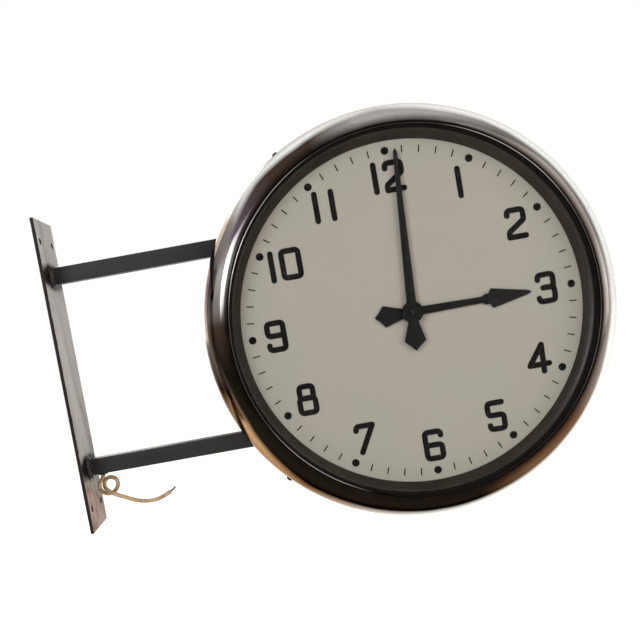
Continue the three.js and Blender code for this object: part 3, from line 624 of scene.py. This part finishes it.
# %% One domed, slotted screw
HEAD_R, HEAD_TALL, DOME, SHANK_R, SHANK_LONG = 4.8, 4.5, 3.0, 2.0, 7.3
SLOT_WIDE, SLOT_DEEP = 1.1, 1.1
screw = cylinder(HEAD_R, HEAD_TALL, (0, 0, HEAD_TALL / 2), 32)
bpy.ops.object.mode_set(mode="EDIT")
bpy.ops.mesh.select_mode(type="EDGE")
pick(lambda e: all(v.co.z > HEAD_TALL / 2 * MM for v in e.verts), "edges")
bpy.ops.mesh.bevel(offset=DOME * MM, segments=6, profile=0.5)
bpy.ops.mesh.select_mode(type="FACE")
pick(lambda f: f.normal.z < -0.9, "faces")
bpy.ops.mesh.inset(thickness=(HEAD_R - SHANK_R) * MM)
bpy.ops.mesh.extrude_region_move(TRANSFORM_OT_translate={"value": (0, 0, -SHANK_LONG * MM)})
bpy.ops.object.mode_set(mode="OBJECT")
combine(screw, block("slot", (SLOT_WIDE, 12, 2 * SLOT_DEEP), (0, 0, HEAD_TALL)), "DIFFERENCE")
smooth(screw)
print("screw:", len(screw.data.polygons), "faces")

# %% Screw finish, and a copy for each hole
screw_metal = mottled("screw_metal", (12, 9, 8), (34, 27, 22), 300, (0.3, 0.5), Metallic=1.0,
                      Specular_Tint=(0.06, 0.05, 0.04, 1))
SCREW_ANGLES = (30, -30, 135, -135)  # clockwise from twelve
SCREW_LEVEL, SCREW_OUT, SLOT_TURN = -45.5, 0.3, 37
paint(screw, screw_metal)
for side, place in SIDES.items():
    for number, angle in enumerate(SCREW_ANGLES, 1):
        copy = copied(screw)
        copy.name = f"{side}_screw_{number}"
        out = (Matrix.Rotation(math.radians(-angle), 4, "Z")
               @ Matrix.Translation((0, (SKIRT_R + SCREW_OUT) * MM, SCREW_LEVEL * MM))
               @ Matrix.Rotation(-math.pi / 2, 4, "X")
               @ Matrix.Rotation(math.radians(SLOT_TURN * number), 4, "Z"))
        lay(copy, place @ out)
        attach(copy, ROOT)
        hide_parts(f"{side}_bezel_screw_{number}")
bpy.data.objects.remove(screw)
print("screws: 8")

# %% [markdown]
# ### Glass, seal and sloping ring
#
# Under the bead a black seal presses on a flat clear glass. The glass rests
# on a ring of dark satin lacquer that slopes down to the dial. Clear glass is
# a mix of a see-through shader and a little gloss, with more gloss where it
# is seen at a slant.

# %% Finishes of glass, seal and ring
glass_clear = Finish("clear_glass")
clear = glass_clear.add("ShaderNodeBsdfTransparent", {"Color": (0.985, 0.99, 0.985, 1)})
gloss = glass_clear.add("ShaderNodeBsdfGlossy", {"Roughness": 0.03})
slant = glass_clear.add("ShaderNodeFresnel", {"IOR": 1.08})
blend = glass_clear.add("ShaderNodeMixShader", {0: slant.outputs[0], 1: clear.outputs[0], 2: gloss.outputs[0]})
glass_clear.give(glass_clear.tree.nodes["Material Output"].inputs["Surface"], blend.outputs[0])
glass_clear.tree.nodes.remove(glass_clear.shader)
seal_rubber = mottled("seal_rubber", (10, 9, 8), (20, 17, 15), 90, (0.55, 0.75), Specular_IOR_Level=0.05)
ring_lacquer = Finish("ring_lacquer", Specular_IOR_Level=0.25)
streaks = ring_lacquer.noise(14, detail=2)
ring_lacquer.set("Base Color", ring_lacquer.two_tones(streaks, (42, 34, 29), (54, 44, 37)))
ring_lacquer.set("Roughness", ring_lacquer.spread(streaks, 0.3, 0.4))

# %% Turn the sloping ring, the glass and the seal
ring = turned("sloping_ring", [
    (250, 0.3), (250.1, 0.75), (260.5, 11.9), (261.2, 12.2),
    (268.5, 12.2), (268.5, 10.7), (261.7, 10.7), (252.04, 0.3)])
on_both_faces(ring, ring_lacquer, "ring_lacquer", "dial_ring")

GLASS_R, GLASS_THICK, GLASS_H, GLASS_EDGE = 264, 3, 14, 0.4
glass = cylinder(GLASS_R, GLASS_THICK, (0, 0, GLASS_H), STEPS)
glass.name = "clear_pane"
bpy.ops.object.mode_set(mode="EDIT")
bpy.ops.mesh.select_mode(type="EDGE")
pick(lambda e: abs(e.verts[0].co.z - e.verts[1].co.z) < 1e-6, "edges")
bpy.ops.mesh.bevel(offset=GLASS_EDGE * MM, segments=2)
bpy.ops.object.mode_set(mode="OBJECT")
smooth(glass)
on_both_faces(glass, glass_clear, "clear_glass", "glass")

seal = turned("black_seal", [
    (262, 15.8), (262.3, 17.2), (264.3, 23.9), (264.9, 24.3),
    (268.5, 24.3), (268.5, 12.5), (264.3, 12.5), (264.3, 15.8)])
on_both_faces(seal, seal_rubber, "seal_rubber", "glass_seal")

# %% [markdown]
# ## Dials
#
# Each dial is a sheet with baked enamel of a warm greyish cream, slightly
# yellowed in clouds. The sheet has a hole for the hour pipe and a rounded
# edge under the ring.

# %% Enamel, and the sheet
enamel = Finish("dial_enamel", Specular_IOR_Level=0.3)
clouds = enamel.noise(3.2, detail=3)
cream = enamel.ramp(clouds, [(0.35, srgb(165, 160, 149)), (0.65, srgb(169, 160, 151))])
dust = enamel.fade(enamel.noise(420, detail=2), 0.72, 0.78, 0.0, 0.35)
enamel.set("Base Color", enamel.mix(dust, cream, srgb(148, 141, 128)))
enamel.set("Roughness", enamel.spread(clouds, 0.42, 0.55))
enamel.dent(enamel.noise(260, detail=1), 0.00001)
HOUR_HOLE, DIAL_R, DIAL_THICK, DIAL_EDGE = 6.2, 258, 2, 0.4
dial = turned("enamel_dial", [
    (HOUR_HOLE, 0), (DIAL_R - DIAL_EDGE, 0), (DIAL_R, -DIAL_EDGE), (DIAL_R, -DIAL_THICK), (HOUR_HOLE, -DIAL_THICK)])
on_both_faces(dial, enamel, "dial_enamel", "dial")

# %% [markdown]
# ### Print
#
# The numbers are strokes of one width with round ends, drawn with a stencil.
# A stroke starts as a grid two cells wide, which is its first straight run.
# Its end edge is extruded for each further run and spun for each bend, and
# both ends get half a disc by spinning half of the edge round its middle.
# Where strokes of one number meet they are united by a Boolean. The ink is
# given a thickness of a tenth of a millimetre.

# %% Draw one stroke
INK_HALF, INK_TALL, BEND, CAP_STEPS = 4.2, 0.12, 4.7, 12
BEND_STEP = 0.26  # radians, the longest piece of a bend


def heading(a, b):
    return math.atan2(b[1] - a[1], b[0] - a[0])


def spin(angle, centre, steps):
    """Spins what is selected; a left turn is a positive angle."""
    bpy.ops.mesh.spin(steps=steps, angle=-angle, center=(centre[0] * MM, centre[1] * MM, 0), axis=(0, 0, 1))


def cap(place, direction, sign):
    """Rounds the end of a stroke at that place."""
    middle = Vector(place) * MM
    half = Vector((math.cos(direction), math.sin(direction))).orthogonal() * INK_HALF * MM
    pick(lambda v: (v.co.xy - middle).length < 1e-5 or (v.co.xy - middle - half).length < 1e-5)
    spin(sign * math.pi, place, CAP_STEPS)


def stroke(corners, closed):
    """A line of ink through corners, each rounded to the bend."""
    points = [Vector(c) for c in corners]
    if closed:
        start = (points[0] + points[1]) / 2
        points = [start] + points[1:] + [points[0], start]
    bends = []
    for before, here, after in zip(points, points[1:], points[2:]):
        turned_by = (heading(here, after) - heading(before, here) + math.pi) % math.tau - math.pi
        bends.append((turned_by, BEND * math.tan(abs(turned_by) / 2)))
    first = points[1] - points[0]
    long = first.length - (bends[0][1] if bends else 0)
    middle = points[0] + first.normalized() * long / 2
    bpy.ops.object.select_all(action="DESELECT")
    bpy.ops.mesh.primitive_grid_add(x_subdivisions=1, y_subdivisions=2, size=1, location=(*(middle * MM), 0),
                                    rotation=(0, 0, heading(points[0], points[1])))
    piece = bpy.context.object
    piece.scale = (long * MM, 2 * INK_HALF * MM, 1)
    settle()
    end = points[0] + first.normalized() * long
    bpy.ops.object.mode_set(mode="EDIT")
    bpy.ops.mesh.select_mode(type="VERT")
    pick(lambda v: (v.co.xy - end * MM).length < INK_HALF * MM * 1.01)
    for (angle, _), corner, after, following in zip(bends, points[1:], points[2:], bends[1:] + [(0, 0)]):
        ahead = (corner - end).normalized() if (corner - end).length > 1e-6 else ahead
        left = Vector((-ahead.y, ahead.x))
        centre = end + left * math.copysign(BEND, angle)
        spin(angle, centre, max(3, round(abs(angle) / BEND_STEP)))
        away = (after - corner).normalized()
        end = corner + away * BEND * math.tan(abs(angle) / 2)
        run = (after - end).length - following[1]
        if run > 0.01:
            step = away * run * MM
            bpy.ops.mesh.extrude_edges_move(TRANSFORM_OT_translate={"value": (*step, 0)})
            end = end + away * run
        ahead = away
    if not closed:
        cap(points[-1], heading(points[-2], points[-1]), -1)
        cap(points[0], heading(points[0], points[1]), 1)
    bpy.ops.mesh.select_all(action="SELECT")
    bpy.ops.mesh.remove_doubles(threshold=0.004 * MM)
    bpy.ops.mesh.extrude_region_move(TRANSFORM_OT_translate={"value": (0, 0, INK_TALL * MM)})
    bpy.ops.mesh.select_all(action="SELECT")
    bpy.ops.mesh.normals_make_consistent(inside=False)
    bpy.ops.object.mode_set(mode="OBJECT")
    return piece


# %% The numbers, each as its strokes
def oblong(left, right, low, high):
    return [(left, low), (right, low), (right, high), (left, high)]


NUMBERS = {
    "0": [(oblong(-12.35, 12.35, -19.4, 19.4), True)],
    "1": [([(0, -19.4), (0, 19.4)], False)],
    "2": [([(-12, 12.5), (-12, 19.5), (11.1, 19.5), (11.1, 4.2), (-12.2, -11.8), (-12.2, -19.2)], False),
          ([(-12.2, -19.2), (11.6, -19.2)], False)],
    "3": [([(-11, 12.5), (-11, 19.3), (11.3, 19.3), (11.1, 0.5), (-4.5, 0.3)], False),
          ([(-1, 0.2), (11.2, 0.1), (11.3, -19.4), (-12, -19.4), (-12, -14)], False)],
    "4": [([(4.4, 18.3), (-16.2, -10.4)], False), ([(-16.2, -10.4), (12.2, -10.2)], False),
          ([(4.4, 18.3), (3.5, -20.7)], False)],
    "5": [([(10.6, 19.2), (-11, 19.2), (-11, 1), (11.3, 1), (11.3, -19.5), (-10.4, -19.5), (-10.4, -13.6)], False)],
    "6": [([(12, 13.4), (12, 19.6), (-11.6, 19.6), (-11.6, -10)], False),
          (oblong(-11.6, 11.8, -19.6, 0.2), True)],
    "7": [([(-9.2, 12.7), (-9.2, 18.6), (15.7, 18.6)], False), ([(15.7, 18.6), (-4.7, -20.2)], False)],
    "8": [(oblong(-11.9, 11.3, -19.6, 2), True), (oblong(-10, 9.7, 2.2, 19.6), True)],
    "9": [(oblong(-11.6, 11.8, 1, 19.4), True),
          ([(11.8, 10), (11.8, -19.5), (-11.7, -19.5), (-11.7, -12.6)], False)],
}
STROKE_LIFT = 0.004


def number(figure):
    """One number as a single piece of ink.

    Its strokes lie a hair apart in height, so that no two faces coincide.
    """
    whole, *others = [stroke(corners, closed) for corners, closed in NUMBERS[figure]]
    for i, other in enumerate(others, 1):
        other.location.z = STROKE_LIFT * i * MM
        combine(whole, other, "UNION")
    return whole


# %% Set the numbers round the dial
PRINTED = [
    ("1", 98.8, 173.1), ("2", 171.1, 100.1), ("3", 199.2, 0.6), ("4", 174.3, -98.5), ("5", 97.1, -171.8),
    ("6", 0.1, -198.6), ("7", -100.4, -170.8), ("8", -172, -99.3), ("9", -201, 0.1), ("1", -189.4, 99.9),
    ("0", -161.2, 100.4), ("1", -111.4, 173.1), ("1", -87.1, 173.1), ("1", -20.4, 199.2), ("2", 8.1, 198.6),
]


def placed(original, matrix):
    """A copy, moved in its own mesh."""
    copy = copied(original)
    copy.data.transform(matrix)
    return copy


figures = {figure: number(figure) for figure in NUMBERS}
ink = [placed(figures[figure], Matrix.Translation((u * MM, v * MM, 0))) for figure, u, v in PRINTED]
for original in figures.values():
    bpy.data.objects.remove(original)
print("numbers printed:", len(ink))

# %% Hour dots and minute ticks
TRACK_R, DOT_R, TICK_LONG, TICK_WIDE, INK_LIFT = 236, 5.7, 10.6, 1.8, 0.01
dot = cylinder(DOT_R, INK_TALL, (0, TRACK_R, INK_TALL / 2), 40)
tick = block("tick", (TICK_WIDE, TICK_LONG, INK_TALL), (0, TRACK_R, INK_TALL / 2))
for minute in range(60):
    mark = tick if minute % 5 else dot
    ink.append(placed(mark, Matrix.Rotation(-math.tau * minute / 60, 4, "Z")))
for original in (dot, tick):
    bpy.data.objects.remove(original)
only(*ink)
bpy.ops.object.join()
print_ink = bpy.context.object
print_ink.name = "dial_print"
lay(print_ink, Matrix.Translation((0, 0, INK_LIFT * MM)))
ink_black = mottled("ink_black", (15, 13, 12), (25, 22, 20), 60, (0.5, 0.65), Specular_IOR_Level=0.05)
on_both_faces(print_ink, ink_black, "hand_black")

# %% [markdown]
# ## Hands
#
# The hands are pressed sheet with a low ridge along the middle and a coat of
# black paint. Their shape in the solid model is already right, so they keep
# it and only get the paint: satin, with a little dust that has settled in
# patches.

# %% Paint the hands
hand_paint = mottled("hand_paint", (14, 13, 12), (27, 25, 24), 45, (0.32, 0.5), dent_scale=900,
                     dents=0.00003, Specular_IOR_Level=0.08)
for side in SIDES:
    dress(hand_paint, f"{side}_minute_hand", f"{side}_hour_hand", f"{side}_hand_nut")
print("hands painted on", len(SIDES), "dials")

# %% [markdown]
# ## Wall plate
#
# A flat steel bar with four screw holes carries everything. It is painted light grey over older dark paint: the
# edges are chipped, streaks run down, the paint is darker round the feet of the arms, and the foot is brown with
# rust. The walls of the screw holes and a narrow ring round each are painted shade. The shape is a block with
# bevelled edges and Boolean holes, and its finish reads the height and the distance from each arm and each hole.

# %% Shape the plate
PLATE_THICK, PLATE_WIDE, PLATE_TALL, PLATE_EDGE = 5, 100, 480, 0.7
PLATE_HOLE, HOLE_Y, HOLE_Z = 4.5, 33, 205.5
plate = block("wall_plate_bar", (PLATE_THICK, PLATE_WIDE, PLATE_TALL), (PLATE_THICK / 2, 0, 0))
only(plate)
edge = plate.modifiers.new("edge", "BEVEL")
edge.width = PLATE_EDGE * MM
edge.segments = 3
bpy.ops.object.modifier_apply(modifier=edge.name)
ALONG_X = (0, math.pi / 2, 0)
for y in (-HOLE_Y, HOLE_Y):
    for z in (-HOLE_Z, HOLE_Z):
        combine(plate, cylinder(PLATE_HOLE, 20, (0, y, z), 40, ALONG_X), "DIFFERENCE")
smooth(plate, 40)
print("plate:", len(plate.data.polygons), "faces")

# %% Paint, soot and rust on the plate
# Where each layer fades in or out, in metres. The rust goes by height, the darkening round the arms by depth and by
# distance from an arm, the chips and the plate's sides by distance from the middle line, and the painted shade in
# and round the holes by distance from a hole's middle.
FOOT_RUST = (-0.185, -0.150)
DARKENED_FACE, DARKENED_AWAY = (0.0042, 0.0046), (0.0150, 0.0240)
CHIPPED, SIDE_FACE, HOLE_SHADE_RIM = (0.0478, 0.0490), (0.0493, 0.0496), (0.0048, 0.0056)
DARKENED_WIDE = 0.3  # the darkening spreads to both sides, so the way across counts less

old_paint = Finish("old_plate_paint", Specular_IOR_Level=0.15)
axes = old_paint.axes()
height = axes["Z"]
across = old_paint.sums("ABSOLUTE", axes["Y"])
blotch = old_paint.noise(9, detail=6)
fine = old_paint.noise(55, detail=6, rough=0.65)
run_down = old_paint.noise(26, stretch=(1, 1, 0.16))
grey = old_paint.ramp(run_down, [
    (0.28, srgb(158, 155, 153)), (0.5, srgb(196, 195, 194)), (0.72, srgb(214, 213, 212))])
rusty = old_paint.ramp(fine, [
    (0.3, srgb(104, 74, 62)), (0.5, srgb(178, 153, 140)), (0.72, srgb(212, 196, 186))])
foot = old_paint.fade(old_paint.ragged(height, blotch, 0.035), *FOOT_RUST, 1.0, 0.0)
colour = old_paint.mix(foot, grey, rusty)
# The plate's face is darker round the foot of each arm.
for arm_height in ARM_HEIGHTS.values():
    away = old_paint.distance(old_paint.sums("MULTIPLY", across, DARKENED_WIDE),
                              old_paint.sums("SUBTRACT", height, arm_height * MM))
    dark_round_arm = old_paint.fade(old_paint.ragged(away, fine, 0.004), *DARKENED_AWAY, 1.0, 0.0)
    dark_round_arm = old_paint.sums("MULTIPLY", dark_round_arm, old_paint.fade(axes["X"], *DARKENED_FACE))
    colour = old_paint.mix(dark_round_arm, colour, srgb(14, 11, 10))
chipped = old_paint.fade(old_paint.ragged(across, fine, 0.0016), *CHIPPED)
colour = old_paint.mix(chipped, colour, srgb(58, 50, 46))
colour = old_paint.mix(old_paint.fade(across, *SIDE_FACE), colour, srgb(26, 20, 18))
# Painted shade on the walls of the screw holes, and a narrow dark ring round each.
from_hole = old_paint.distance(old_paint.sums("SUBTRACT", across, HOLE_Y * MM),
                               old_paint.sums("SUBTRACT", old_paint.sums("ABSOLUTE", height), HOLE_Z * MM))
hole_shade = old_paint.fade(old_paint.ragged(from_hole, fine, 0.0006), *HOLE_SHADE_RIM, 1.0, 0.0)
colour = old_paint.mix(hole_shade, colour, srgb(24, 18, 16))
pits = old_paint.fade(old_paint.noise(130, detail=2), 0.70, 0.74)
old_paint.set("Base Color", old_paint.mix(pits, colour, srgb(60, 48, 42)))
old_paint.set("Roughness", old_paint.spread(fine, 0.45, 0.75))
old_paint.dent(fine, 0.0003)
paint(plate, old_paint)
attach(plate, ROOT)
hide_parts("wall_plate")

# %% [markdown]
# ## Arms
#
# Two lengths of square tube come out of the plate and go into the drum. A
# block is drawn to length and its long edges are bevelled. The weld round
# each foot is a collar that tapers from the plate up to the tube; it is
# subdivided and pushed about by a noise, so that it looks like run metal.

# %% Tube with a lumpy weld
ARM_START, ARM_END, ARM_WALL, ARM_CORNER = 5.3, 288, 2, 2
WELD_LEG, WELD_TOP, WELD_CUTS = 6, 1.0, 14


def arm(name, height):
    long, centre = ARM_END - ARM_START, ((ARM_START + ARM_END) / 2, 0, height)
    bar = block(name, (long, ARM, ARM), centre)
    bpy.ops.object.mode_set(mode="EDIT")
    bpy.ops.mesh.select_mode(type="EDGE")
    pick(lambda e: abs(e.verts[0].co.x - e.verts[1].co.x) > 0.1, "edges")
    bpy.ops.mesh.bevel(offset=ARM_CORNER * MM, segments=5, affect="EDGES")
    bpy.ops.object.mode_set(mode="OBJECT")
    inner = ARM - 2 * ARM_WALL
    combine(bar, block("bore", (long + 20, inner, inner), centre), "DIFFERENCE")
    return bar


def weld(name, height):
    """A collar of run metal round the foot of an arm."""
    wide = ARM + 2 * WELD_LEG
    collar = block(name, (WELD_LEG, wide, wide), (ARM_START + WELD_LEG / 2, 0, height))
    bpy.ops.object.mode_set(mode="EDIT")
    bpy.ops.mesh.select_mode(type="FACE")
    pick(lambda f: f.normal.x > 0.9, "faces")
    size = (ARM + WELD_TOP) / wide
    bpy.ops.transform.resize(value=(1, size, size), center_override=(0, 0, height * MM))
    bpy.ops.mesh.select_all(action="SELECT")
    bpy.ops.mesh.subdivide(number_cuts=WELD_CUTS)
    bpy.ops.object.mode_set(mode="OBJECT")
    lumps = bpy.data.textures.new("lumps", "CLOUDS")
    lumps.noise_scale = 4.5 * MM
    lumps.noise_depth = 1
    push = collar.modifiers.new("push", "DISPLACE")
    push.texture, push.texture_coords = lumps, "GLOBAL"
    push.strength, push.mid_level = 3.4 * MM, 0.62
    bpy.ops.object.modifier_apply(modifier=push.name)
    bpy.ops.object.shade_smooth()
    return collar


# %% Black paint on the arms
arm_paint = Finish("arm_paint", Specular_IOR_Level=0.2)
soft = arm_paint.noise(14, detail=5, stretch=(0.4, 1, 1))
black = arm_paint.two_tones(soft, (30, 29, 30), (42, 40, 41))
scratch = arm_paint.fade(arm_paint.noise(120, detail=3, stretch=(0.08, 1, 1)), 0.70, 0.76, 0.0, 0.5)
black = arm_paint.mix(scratch, black, srgb(92, 90, 90))
brushed = arm_paint.fade(arm_paint.noise(75, detail=3, stretch=(0.07, 1, 1)), 0.5, 0.7, 0.0, 0.45)
black = arm_paint.mix(brushed, black, srgb(18, 15, 15))
arm_paint.set("Base Color", black)
arm_paint.set("Roughness", arm_paint.spread(soft, 0.42, 0.6))
arm_paint.dent(arm_paint.noise(300, detail=3), 0.00008)
weld_black = mottled("weld_black", (8, 6, 5), (34, 26, 23), 160, (0.3, 0.5), dents=0.0004, Specular_IOR_Level=0.25)
GROMMET_R = 4.6
for name, height in ARM_HEIGHTS.items():
    bar = arm(name + "_tube", height)
    collar = weld(name + "_weld", height)
    if name == "lower_arm":
        combine(bar, cylinder(GROMMET_R, 8, (HOLE.x, 0, height - ARM / 2), 32), "DIFFERENCE")
    smooth(bar, 40)
    paint(bar, arm_paint)
    paint(collar, weld_black)
    for piece in (bar, collar):
        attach(piece, ROOT)
    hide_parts(name)
    print(name, "runs", ARM_END - ARM_START, "mm")

# %% [markdown]
# ## Inside the drum
#
# The movements hang on a steel bar behind the dials. They are seen only when
# the drum is opened, and keep the solid model's shape, with the metals that
# such slave movements have: brass plates and wheels, a coil wound in
# varnished wire, soft iron, steel arbors and a brown moulded block.

# %% Metals of the movement
brass = mottled("movement_brass", (142, 112, 58), (196, 164, 98), 70, (0.22, 0.4), Metallic=1.0)
steel = mottled("grey_steel", (92, 92, 94), (142, 142, 144), 60, (0.3, 0.5), Metallic=1.0)
dull_steel = mottled("dull_steel", (38, 36, 35), (64, 61, 58), 90, (0.45, 0.6), Metallic=1.0,
                     Specular_Tint=(0.2, 0.2, 0.2, 1))
winding = mottled("coil_winding", (96, 34, 20), (150, 66, 36), 200, (0.3, 0.45), stretch=(12, 1, 1))
moulded = mottled("brown_moulding", (40, 24, 18), (66, 42, 32), 80, (0.25, 0.4))
dress(steel, "movement_bar")
dress(moulded, "terminal_block")
dress(seal_rubber, "cable_grommet")
for side in SIDES:
    dress(brass, *[f"{side}_{name}" for name in (
        "back_plate", "front_plate", "cannon_pinion", "ratchet_wheel", "hour_wheel", "minute_wheel")])
    dress(steel, *[f"{side}_{name}" for name in (
        "core_yoke", "armature", "drive_click", "backstop_click", "dial_carrier")])
    dress(dull_steel, f"{side}_minute_arbor")
    dress(winding, f"{side}_coil")
print("movement pieces dressed on both sides")

# %% [markdown]
# ## Floor, sky and lamps
#
# The clock hangs over a plain pale floor. Camera and mirrors see a white
# surround, but what lights the paint is softer: a faint warm sky, a cool lamp
# from the upper left and a broad warmer one from the right, which throw the
# hands' two soft shadows, a small window that glints on the roll, and a
# broad lamp behind for the rear dial.

# %% Lay the floor
bpy.ops.object.select_all(action="DESELECT")
bpy.ops.mesh.primitive_plane_add(size=14, location=(0.4, 0, -0.8))
floor = bpy.context.object
floor.name = "floor"
FLOOR_GLOW = 0.78
floor_finish = Finish("pale_floor", Specular_IOR_Level=0.0, Roughness=1.0, Emission_Color=(1, 1, 1, 1))
floor_tone = floor_finish.noise(2.5, detail=2)
floor_finish.set("Base Color", floor_finish.ramp(
    floor_tone, [(NOISE_LOW, (0.8, 0.8, 0.8, 1)), (NOISE_HIGH, (0.83, 0.83, 0.83, 1))]))
floor_finish.set("Emission Strength", floor_finish.sums("MULTIPLY", floor_finish.seen(), FLOOR_GLOW))
paint(floor, floor_finish)

# %% White surround, even grey light
bpy.context.scene.view_settings.view_transform = "Standard"
world = bpy.data.worlds.new("surround")
bpy.context.scene.world = world
world.use_nodes = True
surround = Nodes(world.node_tree)
sky = surround.tree.nodes["Background"].outputs[0]
surround.give(sky.node.inputs["Color"], (1.0, 0.93, 0.82, 1))
surround.give(sky.node.inputs["Strength"], 0.38)
white = surround.add("ShaderNodeBackground", {"Color": (1, 1, 1, 1), "Strength": 1.0}).outputs[0]
both = surround.add("ShaderNodeMixShader", {0: surround.seen(), 1: sky, 2: white})
surround.give(surround.tree.nodes["World Output"].inputs["Surface"], both.outputs[0])


# %% Hang the lamps
def lamp(name, place, aim, size, power, colour):
    """A soft rectangular lamp that looks at a point."""
    away = Vector(aim) - Vector(place)
    bpy.ops.object.light_add(type="AREA", location=place, rotation=away.to_track_quat("-Z", "Y").to_euler())
    light = bpy.context.object
    light.name = name
    light.data.shape = "RECTANGLE"
    light.data.size, light.data.size_y = size
    light.data.energy = power
    light.data.color = colour


DRUM = (DIAL_X, -0.07, DIAL_Z)
lamp("upper_left", (-1.35, -2.1, 1.0), DRUM, (1.2, 1.2), 46, (0.86, 0.94, 1.0))
lamp("right", (2.8, -2.1, 0.7), DRUM, (2.6, 2.6), 46, (1.0, 0.95, 0.92))
lamp("behind", (-1.0, 2.5, 0.9), (DIAL_X, 0.07, DIAL_Z), (1.8, 1.8), 40, (1.0, 0.97, 0.93))
lamp("window", (-0.1, -1.9, 0.42), (0.3, -0.06, 0.1), (0.12, 0.34), 0.9, (0.86, 0.93, 1.0))
print("lamps hung: 4")
